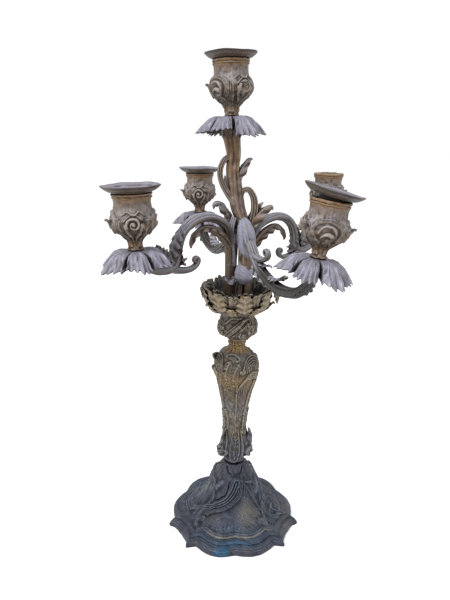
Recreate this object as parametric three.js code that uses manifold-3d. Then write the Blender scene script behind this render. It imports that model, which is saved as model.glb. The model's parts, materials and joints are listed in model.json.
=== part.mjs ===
// Five-light rococo table candelabra in cast, patinated bronze.
// Millimetres, +Z up. The floor is z = 0 and the stem axis is x = 0, y = 0 inside the group;
// the group then moves so that the origin is the bottom centre of the whole object's box.
import * as THREE from "three";
import { mergeVertices } from "three/addons/utils/BufferGeometryUtils.js";
import Module from "manifold-3d";

const wasm = await Module();
wasm.setup();

// ---- Driving dimensions ----

const STEM_AXIS = [-7.4, -5.1]; // where the stem axis stands from the box's centre
const GAP = 0.3; // air between pieces that rest on each other
const ROUND = 16; // facets round a turned piece
const SMALL_ROUND = 8; // facets round a screw, nut, washer or rod

// Each side light: bearing in degrees from +X towards +Y (-90 is the front), distance from the stem axis,
// height of the arm's flat seat under the drip pan, and lean to the right in degrees.
const SIDE_LIGHTS = {
  front_left: { azimuth: -133, reach: 142, seatZ: 373.9, lean: -2.5 },
  front_right: { azimuth: -62, reach: 139, seatZ: 373.9, lean: 9 },
  back_left: { azimuth: 111, reach: 142.5, seatZ: 373.9, lean: 0 },
  back_right: { azimuth: 42, reach: 151, seatZ: 378.4, lean: 0 },
};
const TOP_LIGHT = { at: [-11.3, 0, 492.6], lean: -2 };
const ARM_RADIUS = 4.6;
const ROOT_RADIUS = 3.8; // an arm's upright root in the bowl
const SEAT_RADIUS = 7;
const SEAT_HEIGHT = 12;

const SOCKET_HEIGHT = 51.5; // foot to top of the neck ring
const CANDLE_BORE_RADIUS = 12.4;
const CANDLE_BORE_DEPTH = 25;
const TOP_SOCKET_SCALE = 1.04;

const PAN_THICKNESS = 2;
const PAN_REACH = 38.5; // axis to a leaf tip
const PAN_COLLAR = 0.27; // share of the reach that is a flat collar
const PAN_LEAVES = 6;
const PAN_DROOP = 20;

const BOBECHE_REACH = 26.8;
const BOBECHE_NOZZLE_RADIUS = 11.6;
const BOBECHE_HOLE_RADIUS = 11; // a standard 22 mm candle
const BOBECHE_NOZZLE_DEPTH = 8;
const CROOKED_TILT = 6; // the front right one sits tipped, right side down, degrees
const CROOKED_PLACE = [0.4, 2.1]; // how far it slid to the right, and how high it stands on the ring

const BOWL_FLOOR_Z = 291;
const BOWL_FLOOR_THICKNESS = 4;
const BOWL_BOTTOM_Z = 284.5;
const BOWL_REACH = 40;
const BOWL_RIM_Z = 317;
const KNOP_BOTTOM_Z = 243.5;
const BALUSTER_BOTTOM_Z = 83.6;

const ROD_RADIUS = 3;
const ROD_HOLE_RADIUS = 3.4; // through the column's castings
const ROD_BOTTOM_Z = 66;
const ROD_TOP_Z = 305;

const STUD_RADIUS = 2.1; // arm studs and socket screws
const SCREW_HEAD_RADIUS = 4.5; // sunk under the candle bore's floor
const SCREW_HEAD_HEIGHT = 2.2;
const HEAD_SINK = SCREW_HEAD_HEIGHT + 0.6; // depth of the head's recess
const CLEARANCE_RADIUS = 2.5; // the holes they pass through

const FINISH = {
  bronze: { color: 0x6b5c47, roughness: 0.55, metalness: 0.75 },
  dusty: { color: 0x8c8791, roughness: 0.75, metalness: 0.45 },
  dark: { color: 0x3b4149, roughness: 0.5, metalness: 0.75 },
  steel: { color: 0x77777a, roughness: 0.45, metalness: 0.9 },
};

// ---- Helpers ----

const rad = THREE.MathUtils.degToRad;
const group = new THREE.Group();
group.position.set(STEM_AXIS[0], STEM_AXIS[1], 0);

function add(name, geometry, finish, place = [0, 0, 0], parent = group) {
  const mesh = new THREE.Mesh(geometry, new THREE.MeshStandardMaterial(FINISH[finish]));
  mesh.name = name;
  mesh.position.set(...place);
  parent.add(mesh);
  return mesh;
}

// A point at a compass bearing, a distance from the stem axis and a height.
function polar(azimuth, r, z) {
  return new THREE.Vector3(r * Math.cos(rad(azimuth)), r * Math.sin(rad(azimuth)), z);
}

function sideLight(name) {
  const { azimuth, reach, seatZ, lean } = SIDE_LIGHTS[name];
  return { azimuth, lean, at: polar(azimuth, reach, seatZ).toArray() };
}

// A point on a light's leaning axis, a height above its seat.
function onAxis({ at, lean }, height) {
  return new THREE.Vector3(height * Math.sin(rad(lean)), 0, height * Math.cos(rad(lean)))
    .add(new THREE.Vector3(...at));
}

// Keeps only the corner positions, shared between faces.
function tidy(geometry) {
  const bare = geometry.clone();
  bare.deleteAttribute("normal");
  bare.deleteAttribute("uv");
  return mergeVertices(bare, 1e-4);
}

// Turns a profile of [radius, z] pairs about Z. The profile runs upwards on its outside.
function turned(profile, facets = ROUND) {
  const points = profile.map(([r, z]) => new THREE.Vector2(r, z));
  return tidy(new THREE.LatheGeometry(points, facets).rotateX(Math.PI / 2));
}

// A turned ring: the profile's last point joins its first.
function turnedRing(profile, facets = ROUND) {
  return turned([...profile, profile[0]], facets);
}

// Moves each corner of a turned piece: change(radius, angle, z) gives its new [radius, z].
function reshape(geometry, change) {
  const at = geometry.attributes.position;
  for (let i = 0; i < at.count; i++) {
    const angle = Math.atan2(at.getY(i), at.getX(i));
    const [r, z] = change(Math.hypot(at.getX(i), at.getY(i)), angle, at.getZ(i));
    at.setXYZ(i, r * Math.cos(angle), r * Math.sin(angle), z);
  }
  return geometry;
}

// A turned taper bent along a curve. radiusAt(t) is half its height and flat its width to height;
// side is the direction of its width.
function bent(curve, radiusAt, { steps = 24, facets = 8, flat = 1, side }) {
  const profile = [new THREE.Vector2(0, 0)];
  for (let i = 0; i <= steps; i++) profile.push(new THREE.Vector2(radiusAt(i / steps), i / steps));
  profile.push(new THREE.Vector2(0, 1));
  const solid = tidy(new THREE.LatheGeometry(profile, facets));
  const at = solid.attributes.position;
  for (let i = 0; i < at.count; i++) {
    const t = THREE.MathUtils.clamp(at.getY(i), 0, 1);
    const ahead = curve.getTangent(t);
    const across = side.clone().addScaledVector(ahead, -side.dot(ahead)).normalize();
    const up = ahead.clone().cross(across);
    const p = curve.getPoint(t).addScaledVector(across, at.getX(i) * flat).addScaledVector(up, at.getZ(i));
    at.setXYZ(i, p.x, p.y, p.z);
  }
  return solid;
}

function solidOf(geometry) {
  const mesh = new wasm.Mesh({
    numProp: 3,
    vertProperties: Float32Array.from(geometry.attributes.position.array),
    triVerts: Uint32Array.from(geometry.index.array),
  });
  mesh.merge();
  const solid = new wasm.Manifold(mesh);
  if (solid.volume() >= 0) return solid;
  for (let i = 0; i < mesh.triVerts.length; i += 3) {
    [mesh.triVerts[i + 1], mesh.triVerts[i + 2]] = [mesh.triVerts[i + 2], mesh.triVerts[i + 1]];
  }
  return new wasm.Manifold(mesh);
}

function geometryOf(solid) {
  const mesh = solid.getMesh();
  const geometry = new THREE.BufferGeometry();
  geometry.setAttribute("position", new THREE.BufferAttribute(mesh.vertProperties, 3));
  geometry.setIndex(new THREE.BufferAttribute(mesh.triVerts, 1));
  return geometry;
}

// The first geometry joined with others, less the holes.
function built(body, joined = [], holes = []) {
  let solid = solidOf(body);
  for (const piece of joined) solid = solid.add(solidOf(piece));
  for (const hole of holes) solid = solid.subtract(solidOf(hole));
  return geometryOf(solid);
}

// An upright round bar between two heights.
function bar(radius, low, high, facets = SMALL_ROUND, x = 0, y = 0) {
  return turned([[0, low], [radius, low], [radius, high], [0, high]], facets).translate(x, y, 0);
}

// A turned piece whose top is a light's seat.
function lightSeat(profile, { at, lean }) {
  return turned(profile).rotateY(rad(lean)).translate(...at);
}

function screwHole({ at, lean }) {
  return bar(CLEARANCE_RADIUS, 1 - SEAT_HEIGHT, 5).rotateY(rad(lean)).translate(...at);
}

// A hexagonal nut with its bottom at low.
function hexNut(boreRadius, acrossCorners, low, high) {
  const hexagon = new THREE.Shape();
  for (let i = 0; i < 6; i++) {
    const corner = [Math.cos(rad(60 * i)) * acrossCorners, Math.sin(rad(60 * i)) * acrossCorners];
    if (i === 0) hexagon.moveTo(...corner);
    else hexagon.lineTo(...corner);
  }
  hexagon.holes.push(new THREE.Path().absarc(0, 0, boreRadius, 0, 2 * Math.PI, true));
  const plan = { depth: high - low, bevelEnabled: false, curveSegments: SMALL_ROUND };
  return tidy(new THREE.ExtrudeGeometry(hexagon, plan).translate(0, 0, low));
}

// ---- Base: a hollow shell on a three-lobed, cusped plan, swept up into a round collar ----

const BASE_TURN = 2.4; // the front lobe's centre, degrees past the front
const BASE_FACETS = 48;
const PLAN_MEAN = 78; // radius of the circle that the plan becomes higher up
const PLAN = [ // one sixth of the plan: degrees from a lobe's centre, and radius
  [0, 73], [15, 78], [22.5, 78.5], [37.5, 75.5], [45, 84.5], [52.5, 78], [60, 76],
];

function planRadius(angle) {
  const turn = THREE.MathUtils.radToDeg(angle);
  const lobe = Math.abs(THREE.MathUtils.euclideanModulo(turn + 60, 120) - 60);
  const next = Math.max(PLAN.findIndex(([degrees]) => degrees >= lobe - 1e-3), 1);
  const [[a, ra], [b, rb]] = [PLAN[next - 1], PLAN[next]];
  return THREE.MathUtils.lerp(ra, rb, (lobe - a) / (b - a));
}

// The shell's section, up the outside and down the inside:
// inset from the plan, height, and how much of the plan's shape still shows.
const BASE_SECTION = [
  [0, 0, 1], [0, 5.5, 1], [2.5, 8, 1], [8, 8.5, 1], [9.5, 11.5, 1], [19, 14, 0.95], [33, 24, 0.6],
  [44, 40, 0.3], [50, 58, 0.1], [52, 70, 0], [57.5, 79, 0], [63.5, 83.2, 0], [74.4, 83.2, 0],
  [74.4, 75.6, 0], [61.5, 75.6, 0], [56.5, 68, 0], [54, 56, 0.1], [48, 38, 0.3], [37, 21, 0.6],
  [23, 11, 0.95], [12, 6, 1], [3, 3, 1], [3, 0, 1],
];

function baseShell() {
  const rows = BASE_SECTION.map((_, row) => [1, row]);
  return reshape(turnedRing(rows, BASE_FACETS), (_, angle, row) => {
    const [inset, z, shaped] = BASE_SECTION[Math.round(row)];
    return [THREE.MathUtils.lerp(PLAN_MEAN, planRadius(angle), shaped) - inset, z];
  }).rotateZ(rad(BASE_TURN - 90));
}

add("base", baseShell(), "dark");

const CROWN_UNDERSIDE_Z = 75.6; // inside the base's collar, where the rod's washer bears
const WASHER = { radius: 9, low: CROWN_UNDERSIDE_Z - 1.4, high: CROWN_UNDERSIDE_Z - GAP };
const ROD_NUT = { acrossCorners: 6.4, low: 68.2, high: WASHER.low - GAP };

add("base_washer", turnedRing([
  [ROD_HOLE_RADIUS, WASHER.low], [WASHER.radius, WASHER.low],
  [WASHER.radius, WASHER.high], [ROD_HOLE_RADIUS, WASHER.high],
], SMALL_ROUND), "steel");
add("base_nut", hexNut(ROD_RADIUS + GAP, ROD_NUT.acrossCorners, ROD_NUT.low, ROD_NUT.high), "steel");
add("tie_rod", bar(ROD_RADIUS, ROD_BOTTOM_Z, ROD_TOP_Z), "steel");

// ---- Column: baluster, knop and acanthus bowl, all threaded on the tie rod ----

add("baluster", turnedRing([
  [ROD_HOLE_RADIUS, BALUSTER_BOTTOM_Z], [11.5, BALUSTER_BOTTOM_Z], [15, 91], [20, 98], [22, 105.4],
  [20, 115.5], [15, 124], [13.6, 133], [14.5, 147], [16.5, 168], [21, 187], [26, 205], [27, 213],
  [25, 224], [20.5, 231.5], [11, 238], [9.5, 243.2], [ROD_HOLE_RADIUS, 243.2],
  [ROD_HOLE_RADIUS, 236], [16, 229], [21.5, 213],
  [16, 190], [11, 165], [9.5, 133], [16, 106], [10, 95], [ROD_HOLE_RADIUS, 92],
]), "bronze");

add("knop", turnedRing([
  [ROD_HOLE_RADIUS, KNOP_BOTTOM_Z], [9.5, KNOP_BOTTOM_Z], [10.5, 251], [17, 256], [23, 261.5], [24.3, 266.5],
  [22.5, 272], [18.5, 276], [19, 281], [20.5, BOWL_BOTTOM_Z - GAP], [ROD_HOLE_RADIUS, BOWL_BOTTOM_Z - GAP],
]), "bronze");

const ROOTS = {
  front_left: [-12, -6.5],
  front_right: [10.5, -9],
  back_left: [-6, 12],
  back_right: [10.5, 9],
};

const bowl = turnedRing([
  [18.5, BOWL_BOTTOM_Z], [21.5, BOWL_BOTTOM_Z], [28, 286.5], [35, 293], [38.5, 304], [BOWL_REACH, BOWL_RIM_Z],
  [37.5, BOWL_RIM_Z - 1], [35.5, 305], [32.5, 298], [28, BOWL_FLOOR_Z + BOWL_FLOOR_THICKNESS],
  [ROD_HOLE_RADIUS, BOWL_FLOOR_Z + BOWL_FLOOR_THICKNESS], [ROD_HOLE_RADIUS, BOWL_FLOOR_Z],
  [18.5, BOWL_FLOOR_Z],
], 20);
// The rim rises and falls in leaf tips.
reshape(bowl, (r, angle, z) => {
  const high = THREE.MathUtils.smoothstep(z, 294, BOWL_RIM_Z);
  return [r * (1 + 0.03 * high * Math.cos(5 * angle)), z + 3 * high * Math.cos(5 * angle)];
});
const rootHoles = Object.values(ROOTS).map(([x, y]) => bar(CLEARANCE_RADIUS, 280, 305, SMALL_ROUND, x, y));
add("acanthus_bowl", built(bowl, [], rootHoles), "bronze");

// ---- Upper stem: a leaning trunk with strap leaves cast on it ----

const TRUNK = [
  [2, 0, 299], [3, 0, 308], [4.5, 0, 325], [4.4, 0, 350], [4, 0, 372], [1.9, 0, 388], [-2.5, 0, 402],
  [-6.6, 0, 423], [-9, 0, 441], [-8.8, 0, 460], [-10.8, 0, 476], [-11.3, 0, 488],
];
const TRUNK_RADIUS = [5.6, 5.4, 4.9, 4.6, 4.9, 5.6, 6, 7, 6.8, 6.6, 8.6, 8.6];

function along(values) {
  return (t) => {
    const at = t * (values.length - 1);
    const low = Math.min(Math.floor(at), values.length - 2);
    return THREE.MathUtils.lerp(values[low], values[low + 1], at - low);
  };
}

function curveThrough(points) {
  return new THREE.CatmullRomCurve3(points.map((p) => (p.isVector3 ? p : new THREE.Vector3(...p))));
}

// Strap leaves: centre line, half thickness and width to thickness.
const STEM_LEAVES = [
  { path: [[-4, -1, 408], [-14, -2, 418], [-21, -3, 428], [-25, -3, 439], [-22, -3, 449], [-14, -2, 453]] },
  { path: [[-8, 0, 425], [-1, 0, 436], [3, 0, 443], [8, 0, 451], [11, 0, 454]] },
  { path: [[6, 0, 378], [15, -1, 392], [16.5, -1, 405], [13, -1, 418], [6, -1, 424], [1, -1, 421]] },
  { path: [[5, 1, 372], [11, 2, 384], [19, 3, 394], [27, 3, 402], [32, 3, 402]] },
  { path: [[2, 3, 376], [-9, 5, 388], [-15, 6, 400], [-21, 6, 409], [-26, 6, 405]] },
  { path: [[-2, -5, 394], [3, -9, 391], [9, -12, 385], [14, -12, 377]] },
];

const trunk = bent(curveThrough(TRUNK), along(TRUNK_RADIUS), {
  steps: 22, facets: 10, side: new THREE.Vector3(0, 1, 0),
});
const stemLeaves = STEM_LEAVES.map(({ path }) =>
  bent(curveThrough(path), (t) => 2.4 - 1.4 * t * t, {
    steps: 8, facets: 5, flat: 1.9, side: new THREE.Vector3(0, 1, 0),
  }));
const FLOOR_TOP = BOWL_FLOOR_Z + BOWL_FLOOR_THICKNESS + GAP;
const stemFoot = turned([
  [0, FLOOR_TOP], [7, FLOOR_TOP], [7, FLOOR_TOP + 6], [5, FLOOR_TOP + 10], [0, FLOOR_TOP + 10],
]).translate(2, 0, 0);
const stemHead = lightSeat([[0, -SEAT_HEIGHT], [8, -SEAT_HEIGHT], [9.5, -6], [9.5, 0], [0, 0]], TOP_LIGHT);
const stemHoles = [bar(ROD_HOLE_RADIUS, 280, ROD_TOP_Z + 2), screwHole(TOP_LIGHT)];
add("upper_stem", built(trunk, [stemFoot, stemHead, ...stemLeaves], stemHoles), "bronze");

// ---- Arms: two arched and two swept low, each on an upright root bolted through the bowl's floor ----

// Centre lines past the root, as [distance from the stem axis, height].
function archedArm(drop) {
  const arch = [[27, 388], [42, 395], [60, 397], [75, 393], [86, 384], [91, 372], [93, 362]];
  return [...arch.map(([r, z]) => [r, z - drop]), [100, 351.5], [113, 352], [128, 357]];
}
function sweptArm(lift) {
  const sweep = [[24, 364], [35, 351], [48, 341], [64, 334], [82, 330], [98, 331], [113, 335]];
  return [...sweep.map(([r, z]) => [r, z + lift]), [126, 345], [134, 355]];
}

// Leaves and scrolls cast on an arm.
const arched = {
  line: archedArm,
  leaves: (drop) => [
    [[18, 366], [35, 381], [47, 386], [58, 387], [68, 384], [73, 376], [73, 370]]
      .map(([r, z]) => [r, z - drop]),
    [[101, 351.5], [91, 349], [78, 347], [68, 349], [62, 356]],
  ],
};
const swept = {
  line: sweptArm,
  leaves: (lift) => [
    [[20, 366], [30, 358], [42, 354], [53, 355], [61, 361], [59, 367]].map(([r, z]) => [r, z + lift]),
  ],
};
const ARMS = {
  front_left: { kind: arched, rootTop: 366, shift: 0 },
  front_right: { kind: swept, rootTop: 358, shift: 2 },
  back_left: { kind: swept, rootTop: 360, shift: 9 },
  back_right: { kind: arched, rootTop: 356, shift: 10 },
};
const NUT_HEIGHT = 3.6;
const NUT_CORNER_RADIUS = 4.1;
const NUT_LOW = BOWL_FLOOR_Z - GAP - NUT_HEIGHT;
const STUD_PAST_NUT = 1.2;
const FOOT_RADIUS = 5; // an arm's round foot on the bowl's floor
const FOOT_HEIGHT = 7;

const armNut = hexNut(STUD_RADIUS + GAP, NUT_CORNER_RADIUS, NUT_LOW, NUT_LOW + NUT_HEIGHT);

for (const [name, { kind, rootTop, shift }] of Object.entries(ARMS)) {
  const [x, y] = ROOTS[name];
  const light = sideLight(name);
  const { azimuth } = light;
  const side = new THREE.Vector3(-Math.sin(rad(azimuth)), Math.cos(rad(azimuth)), 0);
  const root = [[x, y, FLOOR_TOP + 3], [x, y, 316], [x, y, 337], [x, y, rootTop]];
  const reach = kind.line(shift).map(([r, z]) => polar(azimuth, r, z));
  const end = [onAxis(light, -9), onAxis(light, -5)];
  const thickness = (t) =>
    THREE.MathUtils.lerp(ROOT_RADIUS, ARM_RADIUS, THREE.MathUtils.smoothstep(t, 0.15, 0.3));
  const body = bent(curveThrough([...root, ...reach, ...end]), thickness, { steps: 30, facets: 8, side });
  const seat = lightSeat([
    [0, -SEAT_HEIGHT], [4.4, -SEAT_HEIGHT], [SEAT_RADIUS, -5], [SEAT_RADIUS, 0], [0, 0],
  ], light);
  const foot = bar(FOOT_RADIUS, FLOOR_TOP, FLOOR_TOP + FOOT_HEIGHT, SMALL_ROUND, x, y);
  const stud = bar(STUD_RADIUS, NUT_LOW - STUD_PAST_NUT, FLOOR_TOP + FOOT_HEIGHT - 2, SMALL_ROUND, x, y);
  const leaves = kind.leaves(shift).map((leaf) =>
    bent(curveThrough(leaf.map(([r, z]) => polar(azimuth, r, z))), (t) => 3 - 1.8 * t * t, {
      steps: 8, facets: 5, flat: 1.7, side,
    }));
  add("arm_" + name, built(body, [seat, foot, stud, ...leaves], [screwHole(light)]), "dusty");
  add("arm_nut_" + name, armNut.clone().translate(x, y, 0), "steel");
}

// ---- Lights: drip pan, vase socket, its screw, and the loose bobeche on top ----

// Depth of a drip pan's top below its collar, at a share of its reach.
const panDrop = (share) => PAN_DROOP * Math.pow(Math.max(share - PAN_COLLAR, 0) / (1 - PAN_COLLAR), 1.8);

function leafPan() {
  const shares = [0.07, PAN_COLLAR, 0.55, 0.8, 1];
  const top = shares.map((s) => [s * PAN_REACH, PAN_THICKNESS]);
  const ring = turnedRing([...shares.map((s) => [s * PAN_REACH, 0]), ...top.reverse()], 30);
  return reshape(ring, (r, angle, z) => {
    const share = r / PAN_REACH;
    const leaf = Math.abs(Math.cos((PAN_LEAVES * angle) / 2));
    const reach = 1 - 0.2 * share * share * (1 - leaf);
    return [r * reach, z - panDrop(share) * (0.8 + 0.2 * leaf)];
  });
}

function vaseSocket(scale) {
  const bore = CANDLE_BORE_RADIUS / scale;
  const floor = SOCKET_HEIGHT - CANDLE_BORE_DEPTH / scale;
  return turnedRing([
    [CLEARANCE_RADIUS, 0], [6.8, 0], [6, 3], [6.6, 8], [11, 14], [19, 20], [22.3, 26],
    [21, 33], [17, 41], [17.8, 44.5], [18.2, SOCKET_HEIGHT], [bore, SOCKET_HEIGHT], [bore, floor],
    [SCREW_HEAD_RADIUS + 0.5, floor], [SCREW_HEAD_RADIUS + 0.5, floor - HEAD_SINK],
    [CLEARANCE_RADIUS, floor - HEAD_SINK],
  ]).scale(scale, scale, scale);
}

function socketScrew(shankBottom, headBottom) {
  return turned([
    [0, shankBottom], [STUD_RADIUS, shankBottom], [STUD_RADIUS, headBottom],
    [SCREW_HEAD_RADIUS, headBottom], [SCREW_HEAD_RADIUS, headBottom + 1.2],
    [3, headBottom + SCREW_HEAD_HEIGHT], [0, headBottom + SCREW_HEAD_HEIGHT],
  ], SMALL_ROUND);
}

// A shallow dish with a wavy rim, on a short nozzle that drops into the candle bore.
function bobeche() {
  const dish = turnedRing([
    [BOBECHE_HOLE_RADIUS, -BOBECHE_NOZZLE_DEPTH], [BOBECHE_NOZZLE_RADIUS, -BOBECHE_NOZZLE_DEPTH],
    [BOBECHE_NOZZLE_RADIUS, 0], [19, 0], [BOBECHE_REACH, 5], [27, 6.4], [18, 1.8],
    [BOBECHE_HOLE_RADIUS, 1.8],
  ], 20);
  return reshape(dish, (r, angle, z) => {
    const outward = THREE.MathUtils.smoothstep(r, 19, BOBECHE_REACH);
    const wave = Math.cos(5 * angle);
    return [r + 0.8 * outward * wave, z + 0.6 * outward * wave];
  });
}

const LIGHTS = {
  top: { ...TOP_LIGHT, scale: TOP_SOCKET_SCALE, dish: "straight" },
  front_left: { ...sideLight("front_left"), scale: 1, dish: "straight" },
  front_right: { ...sideLight("front_right"), scale: 1, dish: "crooked" },
  back_left: { ...sideLight("back_left"), scale: 1, dish: "straight" },
  back_right: { ...sideLight("back_right"), scale: 1, dish: "missing" },
};

for (const [name, { at, lean, scale, dish }] of Object.entries(LIGHTS)) {
  const light = new THREE.Group();
  light.position.set(...at);
  light.rotation.y = rad(lean);
  group.add(light);
  const foot = GAP + PAN_THICKNESS + GAP;
  const ringTop = foot + SOCKET_HEIGHT * scale;
  const headBottom = ringTop - CANDLE_BORE_DEPTH - HEAD_SINK * scale + GAP;
  add("pan_" + name, leafPan(), "dusty", [0, 0, GAP], light);
  add("socket_" + name, vaseSocket(scale), "bronze", [0, 0, foot], light);
  add("socket_screw_" + name, socketScrew(-9, headBottom), "steel", [0, 0, 0], light);
  if (dish === "missing") continue;
  const [slid, lifted] = dish === "crooked" ? CROOKED_PLACE : [0, 0];
  const ring = add("bobeche_" + name, bobeche(), "dusty", [slid, 0, ringTop + GAP + lifted], light);
  if (dish === "crooked") ring.rotation.y = rad(CROOKED_TILT);
}

export default group;
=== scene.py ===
# Five-light rococo table candelabra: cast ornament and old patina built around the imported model.
# Lengths are millimetres from the stem's axis until a mesh is made, and angles are degrees.
import json
import math

import bpy
import numpy as np
from mathutils import Euler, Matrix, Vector


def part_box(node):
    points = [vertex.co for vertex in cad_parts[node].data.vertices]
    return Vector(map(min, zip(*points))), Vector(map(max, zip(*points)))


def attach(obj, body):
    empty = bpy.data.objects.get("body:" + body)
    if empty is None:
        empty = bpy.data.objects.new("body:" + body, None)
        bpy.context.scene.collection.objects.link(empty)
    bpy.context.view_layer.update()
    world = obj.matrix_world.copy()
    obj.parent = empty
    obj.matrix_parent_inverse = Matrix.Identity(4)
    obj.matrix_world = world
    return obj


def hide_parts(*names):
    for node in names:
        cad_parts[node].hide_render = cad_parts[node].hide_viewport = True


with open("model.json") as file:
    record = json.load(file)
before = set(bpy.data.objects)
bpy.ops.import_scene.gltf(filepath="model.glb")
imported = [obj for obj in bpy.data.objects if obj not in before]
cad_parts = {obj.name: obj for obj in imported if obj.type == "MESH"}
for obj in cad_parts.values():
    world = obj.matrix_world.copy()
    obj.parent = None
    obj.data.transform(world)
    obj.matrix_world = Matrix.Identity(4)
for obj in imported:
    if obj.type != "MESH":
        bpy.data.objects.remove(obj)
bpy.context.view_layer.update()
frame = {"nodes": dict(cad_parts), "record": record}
record = frame["record"]
nodes = frame["nodes"]

MM = 0.001
BODY = "candelabra"
rod_low, rod_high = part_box("tie_rod")
AXIS = np.array([rod_low.x + rod_high.x, rod_low.y + rod_high.y, 0.0]) / 2
SIDE_LIGHTS = ("front_left", "front_right", "back_left", "back_right")
THIRDS = (0, 120, 240)  # the base, the column and the knop each repeat three times round
# Painted shade on faces inside a piece and in deep bores and hollows.
INSIDE_SHADE, DEEP_SHADE = -0.5, -0.6  # how dark the faces inside a piece are


def from_frame(point):
    """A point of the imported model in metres, as millimetres from the stem's axis."""
    return (np.array(point, float) - AXIS) / MM


def box_middle(node):
    low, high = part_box(node)
    return (from_frame(low) + from_frame(high)) / 2


def outward(degrees):
    """The level direction at degrees to the right of the front."""
    turn = math.radians(degrees)
    return np.array([math.sin(turn), -math.cos(turn), 0])


def climbing(out, places):
    """Points from [distance, height] places in the upright plane that runs outward."""
    return [out * distance + [0, 0, height] for distance, height in places]


def all_round(columns):
    """Degrees to the right of the front, once round."""
    return np.arange(columns) * 360 / columns - 180


# ---- Curves ----


def spline(points, count):
    """A smooth curve through the points, as count points evenly spaced along it."""
    points = np.asarray(points, float)
    knots = np.r_[0, np.cumsum(np.linalg.norm(np.diff(points, axis=0), axis=1))]
    slopes = np.gradient(points, knots, axis=0)
    at = np.linspace(0, knots[-1], count)
    k = np.clip(np.searchsorted(knots, at, side="right") - 1, 0, len(knots) - 2)
    gap = (knots[k + 1] - knots[k])[:, None]
    u = (at - knots[k])[:, None] / gap
    return (
        (2 * u**3 - 3 * u**2 + 1) * points[k]
        + (u**3 - 2 * u**2 + u) * gap * slopes[k]
        + (3 * u**2 - 2 * u**3) * points[k + 1]
        + (u**3 - u**2) * gap * slopes[k + 1]
    )


def along(values, shares):
    """Values spread evenly over a length, read at shares of it."""
    return np.interp(shares, np.linspace(0, 1, len(values)), values)


def smoothstep(low, high, x):
    t = np.clip((x - low) / (high - low), 0, 1)
    return t * t * (3 - 2 * t)


def unit(vectors):
    return vectors / np.maximum(np.linalg.norm(vectors, axis=-1, keepdims=True), 1e-9)


def curl(path, radius, turns, spin, steps=14):
    """A flat path carried on into a scroll that tightens to nothing. spin 1 turns it to the left."""
    path = [list(p) for p in path]
    ahead = np.array(path[-1], float) - np.array(path[-2], float)
    heading = math.atan2(ahead[1], ahead[0])
    turn = spin * turns * 2 * math.pi / steps
    at = np.array(path[-1], float)
    for k in range(steps):
        heading += turn
        step = radius * abs(turn) * (1 - 0.8 * k / steps)
        at = at + step * np.array([math.cos(heading), math.sin(heading)])
        path.append(list(at))
    return path


def c_scroll(start, end, bend, curls, count=64):
    """A C scroll, or an S scroll where the curls' signs differ, with a volute at each end."""
    share = np.linspace(0, 1, count)
    curvature = bend + curls[0] * np.exp(-share / 0.11) + curls[1] * np.exp(-(1 - share) / 0.11)
    heading = np.cumsum(curvature) / count
    line = np.cumsum(np.c_[np.cos(heading), np.sin(heading)], axis=0)
    first, last = line[int(0.2 * count)], line[int(0.8 * count)]
    flat, goal = last - first, np.array(end, float) - np.array(start, float)
    turn = math.atan2(goal[1], goal[0]) - math.atan2(flat[1], flat[0])
    size = np.linalg.norm(goal) / np.linalg.norm(flat)
    c, s = size * math.cos(turn), size * math.sin(turn)
    return (line - first) @ np.array([[c, s], [-s, c]]) + np.array(start, float)


# ---- Castings: closed skins collected into one mesh ----


class Casting:
    """One cast piece. Each skin is a run of rings of points, capped at its ends or closed on itself."""

    def __init__(self):
        self.points, self.corners, self.sizes = [], [], []
        self.shades = {"tone": [], "stain": []}
        self.count = 0

    def skin(self, rings, tone=0.0, stain=0.0, closed=False):
        rows, around = rings.shape[:2]
        i = np.arange(rows if closed else rows - 1)[:, None]
        j = np.arange(around)[None, :]
        nxt_i, nxt_j = (i + 1) % rows, (j + 1) % around
        quads = np.stack(
            [i * around + j, i * around + nxt_j, nxt_i * around + nxt_j, nxt_i * around + j], -1
        ).reshape(-1, 4)
        flat = rings.reshape(-1, 3)
        a, b, c, d = (flat[quads[:, k]] - flat.mean(0) for k in range(4))
        volume = np.einsum("ij,ij->", np.cross(a, b), c) + np.einsum("ij,ij->", np.cross(a, c), d)
        caps = [] if closed else [np.arange(around)[::-1], (rows - 1) * around + np.arange(around)]
        if volume < 0:
            quads = quads[:, ::-1]
            caps = [cap[::-1] for cap in caps]
        self.corners.append(quads.ravel() + self.count)
        self.sizes.append(np.full(len(quads), 4))
        for cap in caps:
            self.corners.append(cap + self.count)
            self.sizes.append(np.array([around]))
        self.points.append(flat)
        self.shades["tone"].append(np.broadcast_to(tone, (rows, around)).reshape(-1))
        self.shades["stain"].append(np.broadcast_to(stain, (rows, around)).reshape(-1))
        self.count += len(flat)
        return self

    def finish(self, name, material, slot, replaced, body=BODY):
        """Makes the mesh, sets it on its body and hides the imported parts it stands for."""
        points = np.concatenate(self.points) * MM + AXIS
        corners = np.concatenate(self.corners).astype(np.int32)
        sizes = np.concatenate(self.sizes)
        mesh = bpy.data.meshes.new(name)
        mesh.vertices.add(len(points))
        mesh.vertices.foreach_set("co", points.astype(np.float32).ravel())
        mesh.loops.add(len(corners))
        mesh.loops.foreach_set("vertex_index", corners)
        mesh.polygons.add(len(sizes))
        mesh.polygons.foreach_set("loop_start", np.r_[0, np.cumsum(sizes)[:-1]].astype(np.int32))
        mesh.update(calc_edges=True)
        mesh.shade_smooth()
        for shade, values in self.shades.items():
            attribute = mesh.attributes.new(shade, "FLOAT", "POINT")
            attribute.data.foreach_set("value", np.concatenate(values).astype(np.float32))
        mesh.materials.append(material)
        piece = bpy.data.objects.new(name, mesh)
        bpy.context.scene.collection.objects.link(piece)
        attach(piece, body)
        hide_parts(*replaced)

    def add_leaf(self, path, side, width, lobes, stain=0.0, **shape):
        self.skin(*leaf(path, side, width, lobes, **shape), stain)

    def add_strap(self, *path_and_sizes, face=None, stain=0.0):
        self.skin(*strap(*path_and_sizes, face=face), stain)


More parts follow.
